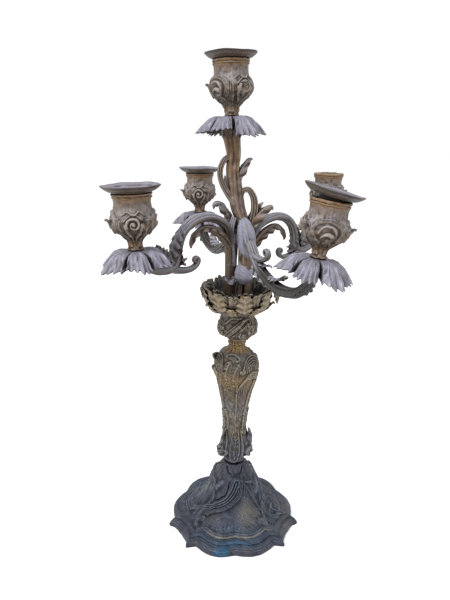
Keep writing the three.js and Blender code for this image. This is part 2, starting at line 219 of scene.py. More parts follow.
def wrapped(radius, height, degrees):
    """Rings from radii and heights at degrees to the right of the front."""
    turn = np.radians(degrees)
    return np.stack(np.broadcast_arrays(radius * np.sin(turn), -radius * np.cos(turn), height), -1)


def turned(profile, columns):
    """Rings of a plain turned skin from [radius, height] points."""
    profile = np.asarray(profile, float)
    return wrapped(profile[:, :1], profile[:, 1:], all_round(columns))


def placed(rings, origin, across, up):
    """Rings from a piece's own frame, whose Y is the model's, into the model's."""
    return (
        np.asarray(origin)
        + rings[..., :1] * across
        + rings[..., 1:2] * np.array([0.0, 1.0, 0.0])
        + rings[..., 2:] * up
    )


# How high a stroke stands, from its middle line (0) to its edge (1).
SECTIONS = {
    "ridge": lambda x: (1 - x * x) ** 0.8,
    "mound": lambda x: (1 - x * x) ** 1.6,
    "band": lambda x: (1 - x**8) * (0.45 + 0.55 * x * x),
    "lines": lambda x: (1 - x**8) * (0.68 + 0.32 * np.cos(4 * np.pi * x)),
}


LEAFLET = [(0, 0), (0.385, 0.55), (1.1, 0.85), (1.485, 0.8)]  # on along its rib, and out from it


def softened(field, spread):
    """A field averaged over about spread cells each way."""
    down = np.fft.fftfreq(field.shape[0])[:, None]
    over = np.fft.fftfreq(field.shape[1])[None, :]
    gain = np.exp(-2 * (np.pi * spread) ** 2 * (down**2 + over**2))
    return np.fft.ifft2(np.fft.fft2(field) * gain).real


class Relief:
    """Ornament on a turned surface. A place on it is [degrees to the right of turn, measure], where
    measure is the height, or another number that grows up the profile. turn 0 is the front."""

    def __init__(self, radius, height, columns, measure=None):
        self.angle = all_round(columns)
        self.height = np.asarray(height, float)
        self.radius = np.broadcast_to(
            radius if np.ndim(radius) == 2 else np.asarray(radius, float)[:, None], (len(height), columns)
        )
        self.girth = self.radius.mean(axis=1)
        steps = np.hypot(np.diff(self.girth), np.diff(self.height))
        self.rise = np.r_[0, np.cumsum(np.maximum(steps, 1e-6))]
        self.measure = self.height if measure is None else np.asarray(measure, float)
        self.relief = np.zeros(self.radius.shape)
        self.turn = 0.0

    def girth_at(self, measure):
        return float(np.interp(measure, self.measure, self.girth))

    def flat(self, line):
        """Places as millimetres, for work on a motif's own shape."""
        line = np.asarray(line, float)
        girth = self.girth_at(line[:, 1].mean())
        return np.c_[np.radians(line[:, 0]) * girth, np.interp(line[:, 1], self.measure, self.rise)]

    def around(self, millimetres, measure):
        """Millimetres back to places, near a measure."""
        millimetres = np.asarray(millimetres, float)
        girth = self.girth_at(measure)
        return np.c_[
            np.degrees(millimetres[:, 0] / girth), np.interp(millimetres[:, 1], self.rise, self.measure)
        ]

    def stroke(self, line, width, height, kind="ridge", ends=(1, 1), steps=26):
        """A raised stroke, or a groove where height is negative. ends are its widths there, as shares."""
        path = spline(line, steps) if len(line) < steps else np.asarray(line, float)
        turn, rise = path[:, 0] + self.turn, np.interp(path[:, 1], self.measure, self.rise)
        rows = np.flatnonzero((self.rise > rise.min() - width) & (self.rise < rise.max() + width))
        if not len(rows):
            return
        girth = np.maximum(self.girth[rows], 2)[:, None]
        middle = (turn.min() + turn.max()) / 2
        away = (self.angle - middle + 180) % 360 - 180
        spread = (turn.max() - turn.min()) / 2 + math.degrees(width / girth.min())
        columns = np.flatnonzero(np.abs(away) < spread)
        x, y = np.radians(away[columns])[None, :] * girth, self.rise[rows][:, None]
        nearest, share = np.full((len(rows), len(columns)), 1e9), np.zeros((len(rows), len(columns)))
        for k in range(len(path) - 1):
            ax, ay = np.radians(turn[k] - middle) * girth, rise[k]
            dx, dy = np.radians(turn[k + 1] - turn[k]) * girth, rise[k + 1] - rise[k]
            t = np.clip(((x - ax) * dx + (y - ay) * dy) / (dx * dx + dy * dy + 1e-9), 0, 1)
            distance = np.hypot(x - ax - t * dx, y - ay - t * dy)
            closer = distance < nearest
            nearest = np.where(closer, distance, nearest)
            share = np.where(closer, (k + t) / (len(path) - 1), share)
        taper = np.maximum(ends[0] + (ends[1] - ends[0]) * share, 0.02)
        raised = height * np.sqrt(taper) * SECTIONS[kind](np.minimum(nearest / (width * taper), 1))
        patch = np.ix_(rows, columns)
        if height < 0:
            self.relief[patch] += raised
        else:
            self.relief[patch] = np.maximum(self.relief[patch], raised)

    def ring(self, at, width, height):
        """A moulding all the way round."""
        away = np.abs(self.rise - np.interp(at, self.measure, self.rise)) / width
        self.relief += height * (np.maximum(1 - away**2, 0) ** 0.8)[:, None]

    def flutes(self, number, low, high, depth, turn=0.0):
        """Fine upright ribs between two measures."""
        middle, half = (low + high) / 2, (high - low) / 2
        fade = np.maximum(1 - ((self.measure - middle) / half) ** 2, 0) ** 0.5
        wave = np.cos(np.radians(number * (self.angle - turn)))
        self.relief += depth * fade[:, None] * np.sign(wave) * np.abs(wave) ** 0.6

    def frond(self, line, width, height, leaflets):
        """An acanthus spray: curved leaflets on each side of a rib."""
        measure = np.asarray(line, float)[:, 1].mean()
        path = spline(self.flat(line), 40)
        ahead = unit(np.gradient(path, axis=0))
        for k in range(leaflets):
            share = (k + 0.3) / leaflets
            i = int(share * 39)
            size = width * (0.45 + 0.75 * math.sin(math.pi * min(0.2 + 0.8 * share, 1)))
            for side in (-1, 1):
                out = side * np.array([-ahead[i][1], ahead[i][0]])
                leaflet = [path[i] + size * (on * ahead[i] + aside * out) for on, aside in LEAFLET]
                leaflet = self.around(leaflet, measure)
                self.stroke(leaflet, 0.3 * size, height * 0.85, "ridge", (0.9, 0.25), 12)
                self.stroke(leaflet, 0.09 * size, -0.3 * height, "ridge", (1, 0.5), 12)
        self.stroke(line, 0.2 * width, height * 1.1, "ridge", (1, 0.3))

    def volute(self, at, size, turns, start, spin, width, height):
        """A spiral with a boss at its eye."""
        share = np.linspace(0, 1, 44)
        turn = np.radians(start + spin * 360 * turns * share)
        radius = size * (1 - share) ** 0.85
        centre = self.flat([at])[0]
        line = np.c_[centre[0] + radius * np.cos(turn), centre[1] + radius * np.sin(turn)]
        self.stroke(self.around(line, at[1]), width, height, "ridge", (1, 0.6), 10)
        self.stroke([at, [at[0] + 0.1, at[1] + 0.1]], 1.5 * width, 1.25 * height, "mound", steps=2)

    def scroll(self, start, end, bend, curls, width, height, kind="band"):
        """A C or S scroll between two places."""
        ends = self.flat([start, end])
        line = c_scroll(ends[0], ends[1], bend, curls)
        self.stroke(self.around(line, (start[1] + end[1]) / 2), width, height, kind, (0.7, 0.7), 10)

    def weather(self, depth, grain=3.0, seed=5):
        """Soft unevenness of an old sand casting."""
        noise = np.random.default_rng(seed).normal(size=self.relief.shape)
        soft = softened(noise, grain)
        self.relief += depth * soft / soft.std()

    def tone(self, scale=0.5, spread=4.0):
        """-1 in the hollows, 1 on the crests."""
        return np.clip((self.relief - softened(self.relief, spread)) / scale, -1, 1)

    def rings(self):
        ahead_r, ahead_z = np.gradient(self.girth), np.gradient(self.height)
        length = np.hypot(ahead_r, ahead_z)
        out, lift = (ahead_z / length)[:, None], (-ahead_r / length)[:, None]
        radius = self.radius + self.relief * out
        height = self.height[:, None] + self.relief * lift
        return wrapped(radius, height, self.angle)


def smooth_profile(runs, rows):
    """Radius and height along smooth runs of [radius, height] that meet at sharp corners."""
    lengths = [np.linalg.norm(np.diff(run, axis=0), axis=1).sum() for run in runs]
    total = sum(lengths)
    parts = [spline(run, max(3, round(rows * length / total))) for run, length in zip(runs, lengths)]
    profile = np.concatenate(parts)
    return profile[:, 0], profile[:, 1]


# ---- Leaves and straps: skins along a path ----


def path_frame(line, side, face=None):
    """Directions across a path and up from it. face, where given, is about where up points."""
    ahead = unit(np.gradient(line, axis=0))
    if face is not None:
        side = np.cross(np.asarray(face, float), ahead)
    side = np.broadcast_to(np.asarray(side, float), line.shape)
    across = unit(side - (side * ahead).sum(-1, keepdims=True) * ahead)
    return across, np.cross(ahead, across)


def offset(across, up, aside, above):
    """What to add to a path's points for places aside of it and above it."""
    return across[:, None] * aside[..., None] + up[:, None] * above[..., None]


def leaf(path, side, width, lobes=4, thick=1.7, cup=0.25, tooth=0.35, steps=64, base=0.35, face=None):
    """An acanthus leaf along a path: its rings and tones. width is half its greatest width, and
    base is the share of it at the foot. side points across the leaf, and cup bends its edges down."""
    line = spline(path, steps)
    across, up = path_frame(line, side, face)
    share = np.linspace(0, 1, steps)
    swell = base + (1 - base) * np.sin(np.pi * np.clip(share, 0, 1) ** 0.8) ** 0.8
    tip = np.sqrt(np.maximum(1 - share**5, 0.0004))
    beat = (share * lobes) % 1
    scallop = 1 - tooth * (1 - np.sin(np.pi * beat) ** 0.55) * smoothstep(0.05, 0.25, share)
    half = (width * swell * tip * scallop)[:, None]
    q = np.cos(np.linspace(np.pi, 0, 23))[None, :]
    ahead_shift = 0.5 / lobes * q**2 * (1 - share[:, None])
    at = np.clip(share[:, None] + ahead_shift, 0, 1) * (steps - 1)
    low = np.minimum(at.astype(int), steps - 2)
    part = (at - low)[..., None]
    spine = line[low] * (1 - part) + line[low + 1] * part
    vein = np.cos(2 * np.pi * (share[:, None] * lobes - 0.35 * np.abs(q)) + np.pi)
    rib = np.exp(-((q / 0.16) ** 2))
    swell_up = 0.12 * half * vein * np.abs(q) ** 0.7 + 0.14 * half * rib
    lift = swell_up - cup * half * q**2
    top = spine + offset(across, up, half * q, lift + thick / 2)
    bottom = top - up[:, None] * (thick * (1 - 0.75 * q**2) + 0.12 * half * rib)[..., None]
    rings = np.concatenate([top, bottom[:, ::-1]], axis=1)
    shade = np.clip(0.75 * vein * np.abs(q) ** 0.5 + 0.9 * rib - 0.25, -1, 1)
    # The underside takes painted shade.
    tones = np.concatenate([shade, np.full_like(shade, -0.35)], axis=1)
    return rings, tones


def strap(path, side, half_width, half_height, ridges=2.0, depth=0.2, steps=120, around=44, face=None):
    """A cast scroll of oval section with ridges along its back: its rings and tones.
    half_width and half_height are lists spread along it, and so may ridges' depth be."""
    line = spline(path, steps)
    across, up = path_frame(line, side, face)
    share = np.linspace(0, 1, steps)
    a, b = along(half_width, share)[:, None], along(half_height, share)[:, None]
    depth = along(np.atleast_1d(depth), share)[:, None]
    t = np.linspace(0, 2 * np.pi, around, endpoint=False)[None, :]
    back = np.sin(t)
    wave = np.cos(2 * np.pi * ridges * np.cos(t)) * np.abs(back) ** 0.6
    aside, above = a * np.cos(t) * (1 + 0.3 * depth * wave), b * back * (1 + depth * wave)
    return line[:, None] + offset(across, up, aside, above), np.clip(wave * depth / 0.25, -1, 1) * 0.8


def pipe(path, radius, steps=60, around=28, roughness=0.0):
    """A round bar along a path, its radius given as a list along it."""
    line = spline(path, steps)
    across, up = path_frame(line, [0.31, 0.95, 0.1])
    share = np.linspace(0, 1, steps)
    t = np.linspace(0, 2 * np.pi, around, endpoint=False)
    r = along(radius, share)[:, None] * (1 + roughness * np.sin(3 * t + 9 * share[:, None]))
    return line[:, None] + offset(across, up, r * np.cos(t), r * np.sin(t))


# ---- Old bronze ----


def linear(rgb):
    """An sRGB colour of 0 to 255 numbers as a linear colour with alpha."""
    share = np.array(rgb, float) / 255
    line = np.where(share <= 0.04045, share / 12.92, ((share + 0.055) / 1.055) ** 2.4)
    return (*[float(x) for x in line], 1.0)


class Shader:
    """A material's node tree, written one node a line."""

    def __init__(self, name):
        self.material = bpy.data.materials.new(name)
        self.material.use_nodes = True
        self.tree = self.material.node_tree
        self.surface = self.tree.nodes["Principled BSDF"]

    def node(self, kind, inputs=None, out=0, **settings):
        made = self.tree.nodes.new("ShaderNode" + kind)
        for key, value in settings.items():
            setattr(made, key, value)
        for key, value in (inputs or {}).items():
            if isinstance(value, bpy.types.NodeSocket):
                self.tree.links.new(value, made.inputs[key])
            else:
                made.inputs[key].default_value = value
        return made.outputs[out]

    def noise(self, scale, detail=4.0, roughness=0.55, distortion=0.0):
        place = self.node("TexCoord", out=3)
        settings = {"Vector": place, "Scale": scale, "Detail": detail, "Roughness": roughness}
        return self.node("TexNoise", {**settings, "Distortion": distortion})

    def ramp(self, value, low, high, to_low=0.0, to_high=1.0):
        settings = {"Value": value, "From Min": low, "From Max": high, "To Min": to_low, "To Max": to_high}
        return self.node("MapRange", settings, interpolation_type="SMOOTHSTEP")

    def maths(self, operation, a, b):
        return self.node("Math", {0: a, 1: b}, operation=operation, use_clamp=True)

    def product(self, a, b):
        return self.maths("MULTIPLY", a, b)

    def mix(self, factor, a, b, blend="MIX"):
        return self.node("Mix", {0: factor, 6: a, 7: b}, out=2, data_type="RGBA", blend_type=blend)

    def feed(self, **inputs):
        for key, value in inputs.items():
            self.tree.links.new(value, self.surface.inputs[key.replace("_", " ")])


def patina(
    name, metal, shade, dust_and_top_light, hollow, edge, warm, cool,
    dust_and_top_light_amount=0.8, metallic=0.2, rough=0.5, patchy=0.5, chased=0.1,
):
    """Cast bronze with an old patina. metal and shade are its two main colours, and the pale colour on what
    faces up is dust together with painted light from above. hollow is dark patina in the recesses, deepened
    there as painted shade, and is painted shade on sheltered and downward faces. edge is a painted
    highlight on the crests, partly wear where handling rubbed them. warm and cool are stains, and chased is
    how clearly fine tool lines run over it."""
    m = Shader(name)
    tone = m.node("Attribute", out=2, attribute_name="tone")
    stain = m.node("Attribute", out=2, attribute_name="stain")
    broad = m.noise(26.0, 3.0, 0.6, 0.4)
    cloudy = m.noise(95.0, 5.0, 0.62, 0.8)
    fine = m.noise(620.0, 4.0, 0.7)
    grit = m.noise(2100.0, 2.0, 0.6)
    flow = m.node("TexWave", {
        "Vector": m.node("TexCoord", out=3), "Scale": 135.0, "Distortion": 16.0, "Detail": 4.0,
        "Detail Scale": 0.5, "Detail Roughness": 0.5}, out=1, wave_type="BANDS", bands_direction="DIAGONAL")
    facing = m.node("SeparateXYZ", {0: m.node("NewGeometry", out=1)}, out=2)
    # Dust on what faces up, which also paints the light falling on those faces from above.
    dust_and_top_light_share = m.product(m.ramp(facing, -0.25, 0.8), m.ramp(fine, 0.3, 0.62, 0.55, 1.0))
    dust_and_top_light_share = m.product(dust_and_top_light_share, m.ramp(cloudy, 0.3, 0.7, 0.55 * dust_and_top_light_amount, dust_and_top_light_amount))
    stained = m.ramp(cloudy, 0.3, 0.6, 0.55, 1.0)
    close, wide = [m.node("AmbientOcclusion", {"Distance": d}, out=1, samples=8) for d in (0.006, 0.035)]
    # Each layer covers a share of what is under it.
    layers = [
        (m.ramp(cloudy, 0.36, 0.64), shade),
        (m.ramp(broad, 0.5, 0.7, 0.0, patchy), warm),
        (m.ramp(m.noise(19.0, 4.0, 0.6, 1.2), 0.5, 0.68, 0.0, patchy), cool),
        (dust_and_top_light_share, dust_and_top_light),
        (m.product(m.ramp(stain, 0.0, 1.0), stained), warm),
        (m.product(m.ramp(stain, 0.0, -1.0), stained), cool),
        # Painted highlight on the crests, partly the wear of rubbed edges.
        (m.product(m.ramp(tone, 0.1, 0.9), m.ramp(fine, 0.34, 0.66, 0.25, 0.85)), edge),
        # Dark patina in the hollows, deepened as painted shade.
        (m.product(m.ramp(tone, 0.0, -0.75), m.ramp(cloudy, 0.25, 0.6, 0.95, 0.75)), hollow),
        # Dark patina in close crevices, strengthened as painted shade.
        (m.ramp(close, 0.75, 0.25, 0.0, 0.9), hollow),
        # Painted shade where wide shelter falls and on faces that look down.
        (m.ramp(wide, 0.7, 0.1, 0.0, 0.6), hollow),
        (m.ramp(facing, 0.0, -0.95, 0.0, 0.55), hollow),
        (m.ramp(flow, 0.45, 0.05, 0.0, chased), hollow),
    ]
    colour = linear(metal)
    for share, layer in layers:
        colour = m.mix(share, colour, linear(layer))
    speck = m.ramp(grit, 0.28, 0.72, 0.84, 1.12)
    colour = m.mix(1.0, colour, m.node("CombineColor", {0: speck, 1: speck, 2: speck}), "MULTIPLY")
    gloss = m.maths("ADD", m.ramp(fine, 0.3, 0.7, rough - 0.08, rough + 0.1), m.product(dust_and_top_light_share, 0.18))
    bare = m.ramp(dust_and_top_light_share, 0.0, 1.0, metallic, 0.3 * metallic)
    normal = {}
    bumps = [(chased, 0.0006, flow), (0.4, 0.0009, cloudy), (0.45, 0.00022, fine), (0.3, 0.00008, grit)]
    for strength, depth, height in bumps:
        bump = {"Strength": strength, "Distance": depth, "Height": height, **normal}
        normal = {"Normal": m.node("Bump", bump)}
    m.feed(Base_Color=colour, Metallic=bare, Roughness=gloss, **normal)
    m.surface.inputs["Specular IOR Level"].default_value = 0.35
    return m.material


SOCKET_BRONZE = patina(
    "socket_bronze", metal=(106, 93, 81), shade=(80, 65, 52), dust_and_top_light=(148, 145, 153), hollow=(20, 13, 8),
    edge=(150, 140, 132), warm=(118, 92, 64), cool=(120, 118, 122), patchy=0.3,
)
PAN_BRONZE = patina(
    "pan_bronze", metal=(101, 98, 107), shade=(76, 71, 76), dust_and_top_light=(131, 130, 145), hollow=(24, 19, 18),
    edge=(174, 173, 192), warm=(96, 80, 64), cool=(120, 122, 140), dust_and_top_light_amount=0.95, patchy=0.4,
)
# For the arms, cool is the dark brown of the swept arms' shaded ends. There it is painted shade, and on the
# arched arms' leaves it is a dark stain.
ARM_BRONZE = patina(
    "arm_bronze", metal=(96, 90, 88), shade=(66, 57, 50), dust_and_top_light=(140, 141, 155), hollow=(26, 21, 18),
    edge=(160, 157, 160), warm=(104, 82, 58), cool=(72, 68, 68), dust_and_top_light_amount=0.95, patchy=0.45,
)
STEM_BRONZE = patina(
    "stem_bronze", metal=(104, 88, 72), shade=(72, 55, 41), dust_and_top_light=(142, 140, 150), hollow=(22, 15, 9),
    edge=(154, 140, 122), warm=(100, 73, 45), cool=(124, 126, 142), dust_and_top_light_amount=0.75, patchy=0.3, chased=0.16,
)
COLUMN_BRONZE = patina(
    "column_bronze", metal=(90, 82, 72), shade=(62, 54, 46), dust_and_top_light=(108, 105, 103), hollow=(14, 10, 7),
    edge=(150, 142, 126), warm=(124, 98, 57), cool=(68, 74, 90), dust_and_top_light_amount=0.55,
    metallic=0.25, rough=0.46, patchy=0.28, chased=0.36,
)
BASE_BRONZE = patina(
    "base_bronze", metal=(52, 57, 69), shade=(40, 44, 55), dust_and_top_light=(61, 66, 80), hollow=(8, 10, 17),
    edge=(100, 106, 120), warm=(104, 101, 92), cool=(20, 84, 118), dust_and_top_light_amount=0.55,
    metallic=0.3, rough=0.42, patchy=0.4, chased=0.46,
)
OLD_STEEL = patina(
    "old_steel", metal=(120, 118, 114), shade=(92, 84, 76), dust_and_top_light=(128, 124, 120), hollow=(52, 44, 38),
    edge=(156, 154, 150), warm=(104, 84, 64), cool=(104, 106, 110), dust_and_top_light_amount=0.3, metallic=0.85, rough=0.42,
)


# ---- Base ----

BASE_TURN = 2.4  # its front lobe's centre, to the right of the front
BASE_ROWS, BASE_COLUMNS = 168, 504
PLAN_MEAN = 78.0
# Degrees from a lobe's middle, and the outline's radius there.
PLAN = [
    (0, 73), (15, 78), (22.5, 78.5), (32, 76.8), (39.5, 75), (42, 79), (45, 84.5), (48, 79.5), (52.5, 77.4),
    (60, 76),
]
# Inset from the plan, height, and how much of the plan's shape still shows.
BASE_PROFILE = [
    [0, 0, 1], [0, 4.4, 1], [0.4, 5.2, 1], [1.7, 6.0, 1], [2.3, 7.6, 1], [3.9, 8.2, 1], [7.2, 8.4, 1],
    [8.2, 9.4, 1], [8.8, 10.9, 1], [10.6, 11.6, 1], [13.6, 11.9, 0.99], [18.6, 13.7, 0.94],
    [25.5, 18.0, 0.78], [32.8, 23.8, 0.6], [38.8, 31.0, 0.44], [43.6, 39.6, 0.3], [47.2, 48.6, 0.2],
    [50.2, 57, 0.1],
    [52.8, 64, 0.04], [55.4, 70, 0], [58.4, 75.2, 0], [61.2, 79, 0], [63.6, 81.6, 0], [65.2, 82.9, 0],
    [67, 83.1, 0], [74.4, 83.1, 0],
]
BASE_INSIDE = [
    [74.4, 75.7, 0], [61.5, 75.7, 0], [56.5, 68, 0], [54, 56, 0.1], [48, 38, 0.3], [37, 21, 0.6],
    [23, 11, 0.95], [12, 6, 1], [3, 3, 1], [3, 0, 1],
]


def plan_radius(angle):
    """The base's outline: six sixths, each the mirror of its neighbour."""
    lobe = np.abs((np.asarray(angle, float) + 60) % 120 - 60)
    degrees, radii = zip(*PLAN)
    return np.interp(lobe, degrees, radii)


def base_rings(profile, rows, columns):
    profile = np.asarray(profile, float)
    inset, height, shaped = spline(profile, rows).T if rows else profile.T
    outline = plan_radius(all_round(columns))[None, :] - PLAN_MEAN
    radius = PLAN_MEAN + outline * shaped[:, None] - inset[:, None]
    return inset, height, radius


def make_base():
    columns = BASE_COLUMNS
    inset, height, radius = base_rings(BASE_PROFILE, BASE_ROWS, columns)
    top = Relief(radius, height, columns, measure=inset + np.linspace(0, 0.5, len(inset)))
    for at in (1.6, 3.4, 5.2, 7.0, 8.8, 10.6, 12.4, 14.2):
        top.ring(at, 0.75, 0.75)
    for at in (17.2, 20.2):
        top.ring(at, 1.3, 1.0)
    for third in THIRDS:
        top.turn = third
        # The big scroll to the right of each smooth panel, and the strap that feeds it from the collar.
        top.stroke([[30, 53.5], [44, 52.5], [62, 50], [69, 44.5], [63, 39], [59, 32], [60, 24],
            [66, 18.5]], 4.2, 3.2, "lines", (0.3, 0.9), 40)
        top.stroke([[24, 53], [36, 50], [47, 44], [51, 37], [51, 28], [56, 19]], 3.4, 2.2, "lines",
            (0.4, 0.9), 34)
        if third < 240:
            top.volute([82, 27], 14, 2.3, 215, 1, 1.25, 2.3)
            top.volute([82, 27], 11.4, 1.7, 215, 1, 0.7, 1.9)
            top.stroke([[72, 53], [84, 49], [100, 42], [106, 33], [103, 23], [92, 17]], 3.2, 2.2,
                "lines", (0.3, 0.8), 40)
        # Hair-like bands and an acanthus leaf that fall from the collar to the left.
        top.stroke([[5, 54], [-3, 50.4], [-14, 47], [-31, 43.4], [-49, 39.4], [-66, 33.5], [-80, 26]],
            7.6, 3.8, "lines", (0.8, 0.45), 40)
        top.stroke([[17, 54], [12, 49.6], [-2, 45.4], [-20, 41.8], [-40, 37.4], [-56, 32]], 4.6, 3.4,
            "lines", (0.8, 0.5), 40)
        top.stroke([[27, 53], [24, 49], [19, 44]], 1.5, 1.6, "ridge", (0.5, 0.2))
        leaf_end = 0.5 if third == 120 else 1.0
        top.stroke([[-36, 53], [-48, 50.5], [-36 - 30 * leaf_end, 53 - 6 * leaf_end],
            [-36 - 42 * leaf_end, 53 - 12 * leaf_end]], 10.0, 2.6, "mound", (0.4, 0.9), 34)
        top.stroke([[-16, 54], [-18, 50.4], [-31, 46.4], [-48, 42.8], [-64, 38], [-76, 32]], 1.1, -2.6,
            "ridge", (0.6, 0.5), 40)
        top.stroke([[-26, 40], [-48, 36.6], [-68, 31], [-78, 24]], 3.4, 2.4, "lines", (0.3, 0.6), 34)
        top.frond([[-48, 30], [-56, 27], [-62, 23], [-66, 18.5]], 6, 1.8, 6)
        top.volute([-60, 23], 4.6, 1.4, 40, -1, 1.0, 1.7)
        # Shells and sprigs along the foot of the dome.
        top.frond([[-26, 24], [-12, 27], [2, 26.5], [14, 23]], 5.0, 1.0, 8)
        top.frond([[46, 22], [36, 25.5], [25, 26], [14, 23]], 5.0, 1.0, 8)
        top.scroll([-30, 31], [2, 31.5], -2.2, (-34, -34), 1.0, 0.8, "ridge")
        top.scroll([10, 31.5], [40, 30], 2.2, (34, 34), 1.0, 0.8, "ridge")
    # The collar dips under a lip at the front of each face.
    for third in THIRDS:
        top.turn = third
        top.stroke([[-40, 63.5], [-24, 59.4], [0, 57.6], [24, 59.4], [40, 63.5]], 3.6, -3.2, "ridge",
            (0.3, 0.3), 34)
        top.stroke([[-34, 57.5], [-16, 55.6], [0, 55.0], [16, 55.6], [34, 57.5]], 1.6, 1.3, "ridge",
            (0.4, 0.4), 34)
    top.weather(0.16, 3.2)
    _, under_height, under_radius = base_rings(BASE_INSIDE, 0, columns)
    under = Relief(under_radius, under_height, columns)
    rings = turned_about(np.concatenate([top.rings(), under.rings()]), BASE_TURN)
    rings[..., 2] = np.maximum(rings[..., 2], 0)
    # Tones that paint highlight on the crests and shade in the hollows, made darker towards the collar.
    worn = top.tone(0.8, 5.0) - 0.35 * smoothstep(58, 72, height)[:, None]
    tones = np.concatenate([worn, np.full(under_radius.shape, INSIDE_SHADE)])
    azimuth = top.angle[None, :]
    band = inset[:, None]
    gilt = np.exp(-(((band - 17.2) / 1.3) ** 2)) * smoothstep(46, 30, np.abs(azimuth - 4))
    panel = 0.62 * np.exp(-(((band - 36) / 11) ** 2) - ((azimuth - 24) / 22) ** 2)
    front = np.exp(-(((azimuth + 2) / 26) ** 2))
    teal = (0.6 * np.exp(-(((band - 8.5) / 4.5) ** 2)) + 0.4 * np.exp(-(((band - 26) / 5) ** 2))) * front
    blue = 1.3 * smoothstep(9, 3, band) * np.exp(-(((azimuth + 13) / 6) ** 2))
    stain = np.clip(1.5 * gilt + panel - np.maximum(teal, blue) * (1 - gilt), -1, 1)
    stains = np.concatenate([stain, np.zeros(under_radius.shape)])
    casting = Casting().skin(rings, tones, stains, closed=True)
    casting.finish("cast_base", BASE_BRONZE, "dark_bronze", ["base"])


def turned_about(rings, degrees):
    """Rings turned about the stem's axis, anticlockwise from above."""
    c, s = math.cos(math.radians(degrees)), math.sin(math.radians(degrees))
    return rings @ np.array([[c, s, 0], [-s, c, 0], [0, 0, 1]])


# ---- Column ----

ROD_HOLE = 3.4
BALUSTER_FOOT, BALUSTER_TOP = 83.6, 243.2
WAIST = 133.0  # the height where the column is thinnest


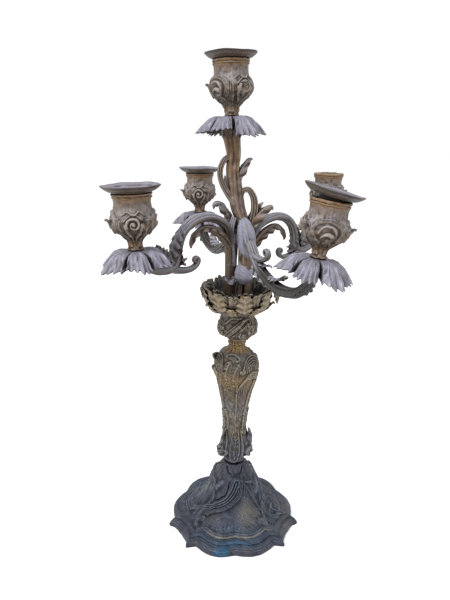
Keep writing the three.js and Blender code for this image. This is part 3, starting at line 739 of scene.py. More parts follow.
def make_baluster():
    columns = 288
    radius, height = smooth_profile([
        [[9.4, 83.6], [11.4, 84.2], [12.0, 86.2], [11.0, 88.2]],
        [[11.0, 88.2], [13.2, 92], [18.6, 97], [20.8, 102], [21.4, 106.5], [20.4, 112], [17.6, 118.5],
         [15, 125], [13.7, 133], [14.1, 145], [15.6, 160], [18.2, 176], [21.6, 191], [24.9, 203],
         [26.2, 211], [25.6, 219], [23, 227], [18.4, 233]],
        [[18.4, 233], [13.2, 236.4], [10.6, 239], [10.0, 241.2], [9.6, 243.2]],
    ], 268)
    # Below its waist the column stays slender between three swelling corners.
    core = np.interp(height, [BALUSTER_FOOT, 86.2, 92, 100, 118, WAIST],
        [9.4, 12.0, 10.8, 11.6, 12.8, 13.7])
    azimuth = all_round(columns)
    corner = np.abs((azimuth + 120) % 120 - 60)
    lobe = np.exp(-((corner / 27) ** 2))[None, :]
    swell = np.where(height < WAIST, np.maximum(radius * 1.05 - core, 0), 0) * smoothstep(86, 92, height)
    slim = np.where(height < WAIST, np.minimum(radius, core), radius)
    top = Relief(slim[:, None] + swell[:, None] * lobe, height, columns)
    for third in THIRDS:
        top.turn = third
        # Fine lines up the middle of each smooth face, and a long scroll up each side of it.
        top.stroke([[4, 130], [0, 146], [2, 165], [1, 184], [3, 200]], 0.9, 0.7, "ridge", (0.5, 1))
        top.stroke([[-8, 128], [-5, 142], [-6, 156]], 0.8, 0.5, "ridge", (1, 0.3))
        top.stroke([[38, 128], [42, 145], [46, 168], [50, 188], [56, 202]], 1.6, 1.7, "ridge", (0.8, 1))
        top.stroke([[52, 128], [55, 150], [60, 175], [66, 196], [76, 210]], 3.2, 1.8, "lines", (0.7, 1))
        for bead in range(6):
            place = [37 + 0.6 * bead, 129 + 5.2 * bead]
            top.stroke([place, [place[0] + 0.6, place[1] + 2.4]], 1.5, 2.3, "mound", steps=3)
        top.volute([-46, 158], 3.0, 1.2, 90, 1, 1.0, 1.6)
        top.stroke([[-44, 156], [-38, 150], [-37, 142], [-44, 133]], 1.3, 1.5, "ridge", (1, 0.4))
        # Parallel bands that sweep up into the shoulder, and the fine-lined shell over them.
        for step in range(4):
            lift = 5.4 * step
            band = [
                [2 + 7 * step, 180 + 0.4 * lift], [5 + 6 * step, 191 + 0.5 * lift],
                [16 + 4 * step, 202.5 + 0.45 * lift], [36 + 2 * step, 207.5 + 0.4 * lift],
                [62, 205 + 0.4 * lift]]
            top.stroke(band, 2.1, 2.3 - 0.2 * step, "ridge", (0.2, 0.8), 34)
        for arc in range(5):
            wide = 34 - 6.2 * arc
            shell = [
                [48 - wide, 215 + 0.5 * arc], [48 - 0.75 * wide, 225 - 0.9 * arc], [48, 231.6 - 2.4 * arc],
                [48 + 0.8 * wide, 226 - 1.2 * arc], [48 + wide, 214 + 0.6 * arc]]
            top.stroke(shell, 1.15, 2.4 - 0.25 * arc, "ridge", (0.6, 0.6), 34)
        top.volute([13, 217], 3.4, 1.3, 60, -1, 1.1, 2.0)
        # Leaves that fall from the shoulder to the left.
        top.frond([[6, 226], [-4, 218], [-9, 208], [-8, 196]], 6.0, 1.1, 8)
        top.frond([[-20, 228], [-27, 218], [-27, 206], [-20, 192]], 6.2, 1.4, 9)
        top.frond([[-44, 224], [-46, 212], [-42, 200], [-34, 188]], 5.6, 1.3, 8)
        top.scroll([-34, 234], [8, 231], -2.0, (-24, -24), 1.5, 1.5)
        # The flare at the foot: a scroll and a wing on each corner, and a spray up each face.
        top.volute([-50, 103], 7.4, 1.6, 100, 1, 2.1, 3.2)
        top.stroke([[-52, 132], [-46, 125], [-40, 117], [-42, 108]], 2.4, 2.6, "band", (0.4, 1))
        top.frond([[2, 92], [-3, 103], [4, 114], [0, 127]], 6.4, 1.5, 8)
        top.stroke([[20, 88], [24, 104], [22, 120], [16, 132]], 1.6, 1.6, "ridge", (1, 0.4))
        top.stroke([[34, 90], [36, 106], [34, 122], [30, 134]], 1.6, 1.8, "ridge", (1, 0.4))
        top.stroke([[-22, 88], [-24, 100], [-20, 114], [-12, 128]], 1.5, 1.6, "ridge", (1, 0.4))
    top.flutes(15, 234, 244, 0.35)
    top.weather(0.14, 2.6, 7)
    inside = turned([
        [ROD_HOLE, BALUSTER_TOP], [ROD_HOLE, 236], [16, 229], [19.5, 213], [14, 190], [10, 165],
        [8.5, 133], [14, 106], [9, 95], [ROD_HOLE, 92], [ROD_HOLE, BALUSTER_FOOT]], columns)
    rings = np.concatenate([top.rings(), inside])
    # Tones that paint highlight on the crests and shade in the hollows; the highlight fades low on the
    # column, and a band round the middle is raised towards it.
    shade = top.tone(0.46, 3.4)
    shade = np.where(shade > 0, shade * (0.5 + 0.5 * smoothstep(112, 138, height))[:, None], shade)
    shade = shade + 0.4 * np.exp(-(((height - 158) / 18) ** 2))[:, None]
    tones = np.concatenate([shade, np.full(inside.shape[:2], INSIDE_SHADE)])
    golden = 0.7 * np.exp(-(((height - 203) / 13) ** 2)) - 0.35 * np.exp(-(((height - 162) / 18) ** 2))
    golden = golden + 0.9 * smoothstep(233, 238, height) - 0.7 * smoothstep(134, 112, height)
    shell = np.exp(-(((height[:, None] - 222) / 8) ** 2) - ((azimuth[None, :] - 48) / 30) ** 2)
    stain = np.concatenate([golden[:, None] - 0.5 * shell, np.zeros(inside.shape[:2])])
    casting = Casting().skin(rings, tones, stain, closed=True)
    # Buds and knuckles that stand out from the casting: where they are, how far out and how big.
    buds = [
        (-92, 222, 27.4, 5.0), (-90, 208, 28.2, 4.2), (62, 158, 17.0, 2.9), (-64, 158, 16.6, 2.6),
        (150, 220, 27.2, 4.8), (210, 158, 16.6, 2.8),
    ]
    for degrees, low, reach, size in buds:
        out = outward(degrees)
        path = climbing(out, [
            [reach - 1.6 * size, low - size], [reach - 0.4 * size, low], [reach, low + 1.1 * size],
            [reach - 1.1 * size, low + 1.7 * size]])
        casting.add_leaf(path, np.cross(out, [0, 0, 1.0]), size, 3, thick=2.6, cup=0.5, steps=30)
    # Pointed wings behind the corner scrolls.
    wing = [(12, 2, -19), (16.4, 5, -9), (19, 7, 2), (18, 8, 11), (15.4, 8, 20)]
    for degrees, low in [(-74, 112), (46, 113), (166, 112)]:
        out, aside = outward(degrees), outward(degrees + 90)
        path = [out * distance + aside * beside + [0, 0, low + rise] for distance, beside, rise in wing]
        side = np.cross(out, [0, 0, 1.0])
        casting.add_leaf(path, side, 6.4, 4, stain=-0.8, thick=2.6, cup=0.3, tooth=0.3, steps=50)
    casting.finish("cast_baluster", COLUMN_BRONZE, "bronze", ["baluster"])


def make_knop():
    columns = 256
    radius, height = smooth_profile([
        [[9.6, 243.5], [11.0, 244.8], [10.0, 247.4], [9.8, 249.4]],
        [[9.8, 249.4], [13.0, 252.2], [18.2, 255.6], [21.8, 260], [22.9, 265], [22.2, 270],
            [19.6, 274.6], [18.0, 278], [18.6, 281.4], [20.2, 284.1]],
    ], 96)
    top = Relief(radius, height, columns)
    for third in THIRDS:
        top.turn = third
        # Bands that wind up and round, with a rosette low on the right and leaves between.
        for step in range(4):
            band = [
                [-48 + 8 * step, 256 + 1.2 * step], [-34 + 8 * step, 262 + step],
                [-16 + 7 * step, 269 + 0.6 * step], [6 + 6 * step, 275.4 + 0.3 * step],
                [26 + 5 * step, 278.6]]
            top.stroke(band, 1.5, 1.9, "ridge", (0.4, 0.7), 30)
        top.stroke([[-40, 258], [-26, 264], [-8, 270.4], [14, 276.4]], 0.9, -1.4, "ridge", (0.6, 0.6), 30)
        top.stroke([[-26, 256], [-10, 262], [8, 268], [28, 274]], 0.9, -1.4, "ridge", (0.6, 0.6), 30)
        top.volute([16, 260], 4.6, 1.5, 130, 1, 1.1, 2.2)
        top.volute([62, 262], 3.6, 1.4, 20, -1, 1.1, 2.2)
        top.frond([[36, 254], [44, 261], [46, 268], [40, 275]], 6.0, 1.9, 7)
        top.stroke([[-40, 273], [-28, 278], [-10, 280.4], [10, 280]], 1.2, 1.5)
        top.volute([-52, 268], 3.0, 1.3, 30, -1, 1.0, 2.0)
        top.stroke([[30, 252], [8, 253.4], [-16, 253], [-34, 255]], 1.2, 1.4)
    top.weather(0.22, 2.4, 9)
    ends = turned([[ROD_HOLE, 284.1], [ROD_HOLE, 243.5]], columns)
    tones = np.concatenate([top.tone(0.3, 3.0), np.full(ends.shape[:2], INSIDE_SHADE)])
    rings = np.concatenate([top.rings(), ends])
    stain = np.concatenate([0.9 * smoothstep(256, 248, height), np.zeros(len(ends))])[:, None] + 0.25
    Casting().skin(rings, tones, stain, closed=True).finish("cast_knop", COLUMN_BRONZE, "bronze", ["knop"])


def fluted_leaves(count, turn, path, flutes, rise, depth, seed):
    """A ring of upright fluted leaves. path is [radius, height] from its foot to its lip, and rise is how
    far the leaves' tips stand over the places between them."""
    columns, rows = 320, 34
    chosen = np.random.default_rng(seed)
    angle = all_round(columns)
    place = (angle + turn) * count / 360
    number = np.round(place).astype(int) % count
    w = 2 * (place - np.round(place))
    tall = chosen.uniform(-0.5, 0.5, count)[number]
    wide = np.abs(w)
    lobe = np.abs(np.cos(flutes * np.pi / 2 * w)) ** 0.55
    edge = 1 - wide**1.7 + 0.45 * (lobe - 1) + tall * (1 - wide)
    line = spline(path, rows)
    share = np.linspace(0, 1, rows)[:, None]
    fade = smoothstep(0.1, 0.75, share)
    groove = depth * fade * (2 * lobe - 1.2) + 0.2 * fade * np.cos(4 * flutes * np.pi * w)
    gap = 1.5 * depth * fade * np.exp(-(((1 - wide) / 0.12) ** 2))
    swell = 1.4 * fade * (1 - wide**2)
    radius = line[:, :1] + groove - gap + swell
    height = line[:, 1:] + (edge - 0.5) * rise * share**1.6
    grain = softened(chosen.normal(size=(rows, columns)), 2.4)
    radius = radius + 0.18 * grain / grain.std() * fade
    outside = wrapped(radius, height, angle)
    thin = 1.7 - 0.5 * share
    ahead = unit(np.gradient(line, axis=0))
    inside = wrapped(radius - thin * ahead[:, 1:], height + thin * ahead[:, :1], angle)
    # Painted shade in the gaps between the leaves and on their insides.
    shade = np.clip(0.25 + 0.6 * groove / depth - 0.6 * gap / depth, -1, 1)
    tones = np.concatenate([shade, np.clip(-0.15 - 0.5 * shade[::-1], -1, 0.5)])
    return np.concatenate([outside, inside[::-1]]), tones


def make_bowl():
    columns = 240
    radius, height = smooth_profile([
        [[18.6, 284.6], [21.5, 284.6], [26, 285.4], [31.0, 288.2]],
        [[31.0, 288.2], [33.0, 292.5], [34.4, 298], [35.0, 303]],
    ], 60)
    top = Relief(radius, height, columns)
    top.weather(0.2, 2.5, 13)
    inner = turned([
        [33.6, 303.4], [32.6, 300], [30.6, 297], [27.8, 295.1], [ROD_HOLE, 295.1], [ROD_HOLE, 291],
        [18.6, 291]], columns)
    tones = np.concatenate([top.tone(0.5, 3.0), np.full(inner.shape[:2], DEEP_SHADE)])
    casting = Casting().skin(np.concatenate([top.rings(), inner]), tones, closed=True)
    outer_line = [[27.0, 289.0], [31.4, 291.8], [33.8, 296.8], [34.6, 302.5], [35.4, 307.5], [38.0, 311.0]]
    inner_line = [[25.0, 291.0], [29.6, 294.0], [31.8, 299.4], [32.4, 304.5], [33.2, 309.0], [35.4, 312.4]]
    for turn, path, rise, depth, seed, stain in [
        (14, outer_line, 9.0, 1.2, 3, 0.45), (40, inner_line, 8.0, 1.1, 6, -0.3),
    ]:
        rings, tones = fluted_leaves(7, turn, path, 5, rise, depth, seed)
        # Tones raised: more painted highlight and less painted shade on these leaves.
        casting.skin(rings, tones + 0.5, stain, closed=True)
    chosen = np.random.default_rng(4)
    for k in range(16):
        # Acanthus leaves climb the outside; short gilt ones spread out between their feet.
        out, rise = outward(22.5 * k + 10), chosen.uniform(-1.6, 1.6)
        if k % 2:
            line = [[21, 285.6], [28, 286.6], [34.4, 290.4], [38.6, 295.6], [41.0, 297.4], [42.4, 295.4]]
        else:
            line = [[24, 286.6], [31.6, 290.2], [36.2, 297 + 0.4 * rise], [38.2, 304 + 0.7 * rise],
                [39.6, 310 + rise],
                    [42.0, 312.4 + rise], [43.2, 309.6 + rise]]
        width, stain = (7.6, 0.9) if k % 2 else (11.2, 0.6)
        shape = {"thick": 1.8, "cup": 0.17, "tooth": 0.42, "steps": 48, "base": 0.5}
        rings, tones = leaf(climbing(out, line), None, width, 5, face=out - [0, 0, 0.5], **shape)
        # Tones raised: more painted highlight and less painted shade on these leaves.
        casting.skin(rings, np.clip(tones + 0.75, -1, 1), stain)
    hanging = [[33, -7, 303], [38.0, -6.4, 311], [42.6, -6, 309.4], [44.4, -5.6, 302], [44.0, -5.4, 294.6]]
    casting.add_leaf(hanging, [0, 1, 0], 5.6, 4, thick=1.8, cup=0.3, steps=48, face=[0.6, -0.8, 0.3],
        stain=0.6)
    curled = [[-33, -8, 300], [-37.4, -9, 307], [-37.8, -9, 314], [-33.6, -8, 318.4], [-29, -7, 317]]
    casting.add_leaf(curled, [0, 1, 0], 7.4, 4, thick=1.9, cup=0.3, steps=48, face=[-0.5, -0.8, 0.3])
    casting.finish("cast_bowl", COLUMN_BRONZE, "bronze", ["acanthus_bowl"])


# ---- Upper stem ----

TRUNK = [
    [2, 0, 295.4], [2.4, 0, 303], [3.4, 0, 312], [4.5, 0, 327], [4.4, 0, 350], [4, 0, 372], [1.9, 0, 388],
    [-2.5, 0, 402], [-6.6, 0, 423], [-9, 0, 441], [-8.8, 0, 460], [-10.6, 0, 474], [-11.2, 0, 485],
    [-11.3, 0, 492.4],
]
TRUNK_RADIUS = [7, 6.2, 5.8, 5.4, 5.4, 5.9, 7.0, 7.4, 7.8, 7.6, 7.2, 8.2, 9.4, 9.6]
# Each knot's share of the way up, its bearing round the trunk and its size.
STEM_KNOTS = [
    (0.76, -70, 1.2), (0.6, -120, 1.32), (0.83, -40, 0.84), (0.42, -60, 1.08), (0.3, -100, 0.72),
    (0.68, 60, 1.08),
]


def make_stem():
    steps, around = 280, 96
    line = spline(TRUNK, steps)
    across, up = path_frame(line, [1, 0, 0])
    share = np.linspace(0, 1, steps)[:, None]
    t = np.radians(np.arange(around) * 360 / around)[None, :]
    # A stalk with long soft ribs, fine lines along it, and knots where branches leave it.
    rib = np.cos(4 * t + 3.4 * share + 0.9 * np.sin(8 * share))
    fine = np.cos(11 * t - 4 * share + 1.6 * np.sin(7 * share + t))
    noise = softened(np.random.default_rng(3).normal(size=(steps, around)), 2.6)
    bark = 0.5 * rib + 0.5 * fine + 0.22 * noise / noise.std()
    swell = along(TRUNK_RADIUS, share[:, 0])[:, None]
    for at, turn, size in STEM_KNOTS:
        round_it = np.angle(np.exp(1j * (t - math.radians(turn))))
        bark = bark + size * np.exp(-(((share - at) / 0.022) ** 2) - (round_it / 0.5) ** 2)
    radius = swell * (1 + 0.03 * rib) + 0.42 * bark
    rings = line[:, None] + offset(across, up, radius * np.cos(t), radius * np.sin(t))
    brown = 0.5 * np.exp(-(((share - 0.84) / 0.14) ** 2)) + 0.7 * np.exp(-(((share - 0.3) / 0.16) ** 2))
    brown = brown + 0.3 + 0.12 * rib
    casting = Casting().skin(rings, np.clip(0.65 * (bark - softened(bark, 7)), -1, 1), brown)
    foot = turned([[7.4, 295.4], [8.6, 296.8], [8.2, 299], [6.4, 302], [5.4, 306]], 48)
    casting.skin(foot + np.array([2.0, 0, 0]))
    # Which way the loops face, the leaves on the right and the low ones.
    seen, right, low = [0.1, -1, 0.25], [-0.55, -0.7, 0.5], [-0.3, -1, 0.1]
    # The loop on the left, and the tendril inside it.
    casting.add_strap([[-2, -3, 402], [-8.4, -4, 410], [-15, -5, 419], [-20.2, -5.4, 428],
        [-22.6, -5.4, 438], [-21, -5.2, 447], [-16.4, -4.6, 453.6], [-10.4, -4.2, 455],
        [-5.6, -4, 451]], None, [4.2, 4.2, 3.6, 3.2, 3.0, 3.0, 3.0, 2.6],
        [2.2, 2.6, 2.8, 2.8, 2.6, 2.2, 1.8], 1.5, 0.3, 110, 40, face=seen)
    casting.add_strap([[-2, -3.4, 394], [-7.4, -4.6, 406], [-13.0, -5, 417], [-16.6, -5, 427],
        [-17.4, -5, 436]], None, [2.4, 2.8, 2.2, 0.8], [1.6, 2.0, 1.6, 0.6], 1.0, 0.25, 70, 28, face=seen)
    # The loop on the right.
    casting.add_strap([[7.6, -1, 371], [11.6, -1.6, 382], [14.6, -2, 394], [15.2, -2.2, 406],
        [12.6, -2.4, 416], [7.6, -2.6, 421.6], [2.6, -2.6, 420.4], [0.6, -2.6, 413.6],
        [1.4, -2.4, 405]], None, [5.6, 5.0, 4.4, 4.2, 3.8, 3.2, 2.6, 1.8],
        [2.8, 3.0, 3.0, 2.8, 2.6, 2.2, 1.4], 1.5, 0.3, 120, 40, face=seen)
    # The dark leaf high on the right, folded over at its tip.
    casting.add_leaf([[-9, 0.4, 422], [-5, -1.0, 431], [-0.6, -2.2, 439], [3.6, -3, 446.4],
        [8.0, -3, 452.4], [11.6, -2, 453]], None, 5.6, 3, thick=2.4, cup=0.4, tooth=0.2, base=0.5,
        face=[-0.5, -0.8, 0.4], stain=-0.3)
    # The brown ribbed leaf that reaches up to the right.
    brown_leaf = [[5, -1, 368], [9.4, -2.4, 378], [14.4, -3.4, 387.4], [20.6, -4, 395.6],
        [27.2, -3.4, 401.4], [32.6, -2, 403.4], [35.4, -1, 400.6]]
    casting.add_leaf(brown_leaf, None, 7.4, 3, thick=2.4, cup=0.45, tooth=0.14, base=0.55, face=right,
        stain=0.35)
    casting.add_strap(brown_leaf[:-1], None, [1.6, 1.9, 1.6, 1.1, 0.4], [2.4, 2.8, 2.4, 1.6, 0.6], 1.0,
        0.2, 60, 20, face=right, stain=0.6)
    casting.add_leaf([[3, 0.6, 372], [7.4, 1, 384], [12.6, 1.6, 394], [19.4, 2.4, 402.6],
        [25, 3, 407.4]], None, 5.4, 3, thick=2.0, cup=0.4, tooth=0.14, base=0.5, face=right, stain=0.3)
    # The dark curled leaf on the left, with a smaller one in front of it.
    casting.add_leaf([[1, 3, 370], [-5.6, 3.6, 381], [-11.6, 3.6, 391], [-17.4, 3.4, 399.6],
        [-23.2, 3.2, 405.6], [-28, 3, 404.4], [-29.6, 3, 399.4]], None, 6.4, 4, thick=2.4, cup=0.45,
        tooth=0.3, base=0.5, face=[0.5, -0.7, 0.5], stain=-0.4)
    casting.add_leaf([[-2, 2, 378], [-7, 0, 385], [-11.4, -1.4, 390], [-15, -2, 396.6]], None, 4.6, 3,
        thick=1.8, cup=0.3, steps=44, face=[0.4, -0.8, 0.4])
    # The broad smooth leaf that folds over the front, and the ones under it.
    grey = [[1.5, -4.6, 391], [3.6, -8.4, 387.4], [5.4, -11.6, 380.6], [6.8, -13.4, 371.6],
        [7.8, -13.8, 362.4], [8.8, -12.8, 354], [9.8, -10.8, 348]]
    casting.add_strap(grey, None, [3.4, 7.4, 9.6, 10.2, 9.8, 8.0, 3.0],
        [1.8, 2.6, 3.0, 3.0, 2.8, 2.2, 1.2], 1.5, 0.1, 90, 48, face=[-0.12, -1, 0.35], stain=-0.9)
    casting.add_leaf([[3, -7, 372], [3.6, -10, 362], [4.6, -11.4, 352], [5.0, -11, 343],
        [4.6, -9.4, 336]], None, 5.0, 2, thick=2.2, cup=0.4, tooth=0.1, base=0.6, face=low, stain=0.6)
    casting.add_strap([[-6.4, -4.4, 392], [-9.4, -6.6, 380], [-8.8, -7.4, 366], [-6.4, -7, 352],
        [-5.4, -6, 338]], None, [3.4, 3.6, 3.0, 2.4, 1.6], [2.4, 2.6, 2.2, 1.8, 1.2], 1.5, 0.3, 80, 30,
        face=low, stain=-0.6)
    # The shell round the trunk's foot.
    casting.add_strap([[4.6, -5.0, 344], [5.2, -8.6, 339], [5.4, -11.4, 332.4], [5.2, -12.4, 325.4],
        [4.8, -11.6, 318.8]], None, [4.0, 8.6, 10.4, 10.0, 4.0], [1.8, 2.8, 3.0, 2.6, 1.2], 1.0, 0.07,
        70, 44, face=[0, -1, 0.35], stain=-0.8)
    casting.add_leaf([[0, -6, 330], [-5, -9.4, 324], [-9.2, -11.4, 321], [-13.2, -11.6, 322.4],
        [-15.6, -11, 327]], None, 4.2, 3, thick=1.8, cup=0.3, steps=40, face=[0, -0.8, 0.6], stain=-0.6)
    # Leaf tips under the top pan.
    for k in range(7):
        out = outward(360 * k / 7 - 20)
        path = climbing(out, [[6.4, 470], [9.4, 477], [12.0, 483.6], [15.4, 487.0], [17.8, 485.0]])
        path = np.array(path) + [TRUNK[-2][0], 0, 0]
        casting.add_leaf(path, np.cross([0, 0, 1.0], out), 5.4, 2, stain=0.2, thick=1.8, cup=0.2, steps=36)
    casting.finish("cast_stem", STEM_BRONZE, "bronze", ["upper_stem"])


# ---- Lights ----

SOCKET_HEIGHT = 51.5
BORE_RADIUS, BORE_DEPTH = 12.4, 25.0
TOP_SCALE = 1.04
SEAT_OFF_AXIS = 8.6  # a candle seat's mount point stands this far to the right of its socket's axis
PAN_THICKNESS, GAP = 2.0, 0.3
PAN_REACH, PAN_COLLAR, PAN_DROOP = 38.2, 0.27, 20.0
# Painted shade on the pans' undersides.
PAN_UNDERSIDE_SHADE = -0.75
PAN_TURN = {"top": 4, "front_left": -16, "front_right": 2, "back_left": 12, "back_right": 20}
SOCKET_COLUMNS = 256


def light_place(name):
    """A socket's foot on its axis, and the directions across and up its axis, from its candle seat."""
    mount = next(m for m in record["mounts"] if m["name"] == "candle_seat_" + name)
    up = np.array(mount["axis"], float)
    across = np.array([up[2], 0, -up[0]])
    scale = TOP_SCALE if name == "top" else 1.0
    seat = from_frame(mount["pos_m"]) - SEAT_OFF_AXIS * across
    return seat - (SOCKET_HEIGHT * scale - BORE_DEPTH) * up, across, up, scale


def socket_relief(turn, worn):
    """The vase's outside. Round cartouches and scrolled ovals take turns round its belly."""
    radius, height = smooth_profile([
        [[3.0, 0], [6.4, 0]],
        [[6.4, 0], [7.3, 1.1], [6.9, 2.4]],
        [[6.9, 2.4], [6.2, 3.6], [6.1, 5.6], [6.9, 8.6], [9.4, 12], [13.4, 15.6], [17.4, 19.4],
         [19.9, 23.2], [20.7, 27], [20.0, 31.0], [18.2, 35], [16.9, 38.6], [16.5, 42.0], [16.9, 45.4],
         [17.2, 46.8]],
        [[17.2, 46.8], [17.9, 47.2], [18.0, 48.0], [17.5, 48.6]],
        [[17.5, 48.6], [17.4, 49.0], [18.2, 49.4], [18.5, 50.3], [18.2, 51.2], [17.5, 51.5]],
        [[17.5, 51.5], [BORE_RADIUS, 51.5]],
    ], 176)
    vase = Relief(radius, height, SOCKET_COLUMNS, measure=height + np.linspace(0, 0.02, len(height)))
    for quarter in (0, 180):
        vase.turn = turn + quarter
        # A round cartouche under a triple line, with a curled tongue inside it.
        vase.stroke([[-22, 16], [-33, 20], [-38, 25], [-33, 30.4], [-18, 34], [0, 35.2], [18, 33.8],
            [33, 30], [39, 25], [34, 19.6]], 3.3, 2.4, "lines", (0.5, 0.8), 36)
        vase.stroke([[-22, 24], [-14, 29], [0, 30.6], [15, 28.6], [21, 24], [15, 19.6], [4, 18.8]], 2.2,
            1.6, "ridge", (0.4, 0.8), 30)
        vase.stroke([[-16, 20], [-8, 23], [3, 24.2], [12, 23]], 2.4, 2.2, "ridge", (0.3, 1))
        vase.stroke([[-6, 15.4], [6, 17], [20, 15.6], [28, 12.8]], 1.5, 1.4, "ridge", (0.3, 0.6))
    for quarter in (90, 270):
        vase.turn = turn + quarter
        # A scrolled oval with a rosette at its eye and a pointed lip over it.
        vase.volute([0, 25.6], 6.2, 1.6, 200, -1, 1.5, 2.3)
        vase.stroke([[-30, 33.4], [-16, 36.4], [-2, 33.6], [4, 33.4], [16, 36.6], [30, 33]], 2.0, 2.6,
            "ridge", (0.4, 0.4))
        vase.stroke([[-24, 28.6], [-12, 32.4], [0, 34.6], [12, 32.4], [24, 28.6]], 1.4, 1.7, "ridge",
            (0.5, 0.5))
        for way in (-1, 1):
            vase.stroke([[20 * way, 25], [19 * way, 19], [11 * way, 13.6], [6 * way, 9]], 1.8, 1.7,
                "ridge", (1, 0.4))
    for eighth in (45, 135, 225, 315):
        vase.turn = turn + eighth
        # Ribs that gather from between the cartouches down to the foot.
        for spread in (-9, -3, 3, 9):
            sag = 0.5 * spread * math.sin(math.radians(vase.turn))
            rib = [[0.9 * spread, 32 - 0.3 * abs(spread)], [1.1 * spread + sag, 23]]
            rib += [[spread, 15], [1.5 * spread, 8], [1.9 * spread, 4]]
            vase.stroke(rib, 1.3, 1.5, "ridge", (0.5, 0.9), 16)
    vase.flutes(34, 33.0, 43.5, 0.12, turn)
    vase.weather(0.2 * worn, 3.2, 20 + int(turn) % 9)
    return vase


def make_light(name, turn, worn):
    foot, across, up, scale = light_place(name)
    vase = socket_relief(turn, worn)
    floor = SOCKET_HEIGHT - BORE_DEPTH / scale
    bore = turned([
        [BORE_RADIUS, 49], [BORE_RADIUS, 40], [BORE_RADIUS, floor], [5.0, floor], [5.0, floor - 2.8],
        [2.5, floor - 2.8], [2.5, 0]], SOCKET_COLUMNS)
    rings = np.concatenate([vase.rings(), bore]) * scale
    tones = np.concatenate([vase.tone(0.85, 4.5), np.full(bore.shape[:2], DEEP_SHADE)])
    high = smoothstep(43, 48, vase.height)[:, None]
    low = smoothstep(16, 5, vase.height)[:, None]
    stain = np.concatenate([high + 0.55 * low, np.zeros((len(bore), 1))])
    socket = Casting().skin(placed(rings, foot, across, up), tones, stain, closed=True)
    for quarter in (84, -58, 204):
        # Pointed leaf tips that stand out from the belly.
        out = outward(turn + quarter)
        path = climbing(out, [[17.4, 17], [20.0, 22], [22.4, 27], [25.2, 30.2], [27.0, 29.6]])
        shape = {"thick": 2.2, "cup": 0.35, "tooth": 0.2, "steps": 36, "base": 0.6}
        rings, tones = leaf(path, np.cross(out, [0, 0, 1.0]), 5.0, 2, **shape)
        socket.skin(placed(rings * scale, foot, across, up), tones)
    socket.finish("cast_socket_" + name, SOCKET_BRONZE, "bronze", ["socket_" + name])
    pan_foot = foot - (PAN_THICKNESS + GAP) * up
    rings, tones = leaf_pan(int(worn * 10) + len(name), PAN_TURN[name])
    pan = Casting().skin(placed(rings, pan_foot, across, up), tones, closed=True)
    pan.finish("leaf_pan_" + name, PAN_BRONZE, "dusty_bronze", ["pan_" + name])


def leaf_edge(across, lobes, fall):
    """An acanthus leaf's outline, as a share of its length, from its middle (0) to its side (1)."""
    reach = [length - fall * np.abs(across - centre) ** 1.25 for centre, length in lobes]
    return np.max(reach, axis=0)


PAN_LOBES = [(0.0, 1.0), (0.31, 0.95), (0.6, 0.88), (0.88, 0.77)]


def leaf_pan(seed, turned_by):
    """Six drooping acanthus leaves round a flat collar."""
    columns, rows = 504, 46
    chosen = np.random.default_rng(seed)
    angle = np.arange(columns) * 360 / columns
    number = np.round(angle / 60).astype(int) % 6
    w = ((angle + 30) % 60 - 30) / 30
    share = np.linspace(0.075, 1, rows)[:, None]
    bend = chosen.uniform(0.8, 1.1, 6)[number]
    length = chosen.uniform(0.9, 1.0, 6)[number]
    sway = chosen.uniform(-0.2, 0.2, 6)[number]
    twist = chosen.uniform(-1.6, 1.6, 6)[number]
    skew = w + sway * (1 - w * w)
    wide = np.abs(skew)
    outline = length * leaf_edge(wide, PAN_LOBES, 1.15) * (1 - 0.4 * smoothstep(0.84, 1.0, np.abs(w)))
    reach = PAN_REACH * share * (1 - (1 - outline)[None, :] * smoothstep(0.25, 1.0, share) ** 1.2)
    fall = np.maximum(0.6 * share + 0.4 * reach / PAN_REACH - PAN_COLLAR, 0) / (1 - PAN_COLLAR)
    droop = PAN_DROOP * fall**1.9 * bend
    far = smoothstep(0.16, 0.62, share)
    beside = wide[None, :] / (0.35 + 0.65 * share)
    vein = np.cos(2 * np.pi * (3.4 * beside - 1.2 * share + 0.15))
    rib = np.exp(-((wide / 0.07) ** 2))
    thread = np.cos(2 * np.pi * (11 * beside - 3.5 * share))
    dome = 4.6 * (1 - np.abs(w) ** 2.6) * far
    bow = 0.22 * far * np.abs(vein) ** 0.7 * np.sign(vein) * smoothstep(0.05, 0.25, wide)
    lift = dome + bow + 0.6 * rib * far + 0.08 * thread * far + twist * w * far * share
    gully = 2.0 * np.exp(-(((1 - np.abs(w)) / 0.1) ** 2)) * smoothstep(0.14, 0.4, share)
    lobed = (leaf_edge(wide, PAN_LOBES, 1.5) - leaf_edge(wide, PAN_LOBES, 0.4)) * 18
    ruffle = (-0.32 * lobed - 0.7) * smoothstep(0.72, 1.0, share) ** 1.5
    grain = softened(chosen.normal(size=(rows, columns)), 3.0)
    grain = grain / grain.std()
    height = PAN_THICKNESS - droop + lift - gully - 2.6 * far + ruffle + 0.4 * far * grain
    degrees = angle + turned_by + 90
    top = wrapped(reach, height, degrees)
    thin = PAN_THICKNESS * (1 - 0.3 * share)
    slope = np.gradient(height, axis=0) / np.maximum(np.gradient(reach, axis=0), 0.2)
    lean = 1 / np.sqrt(1 + slope**2)
    inward = np.clip(thin * slope * lean, -1.2, 0.6) * (share < 0.995)
    under = wrapped(reach + inward, height - thin * lean - 0.25 * far * rib, degrees)
    # Painted shade in the gullies between the leaves; the ribs and folds take the painted highlight.
    shade = np.clip(far * (bow + 0.45 * rib + 0.12 * thread + 0.22 * grain - 0.8 * gully), -1, 1)
    rings = np.concatenate([top, under[::-1]])
    return rings, np.concatenate([shade, np.full((rows, columns), PAN_UNDERSIDE_SHADE)])


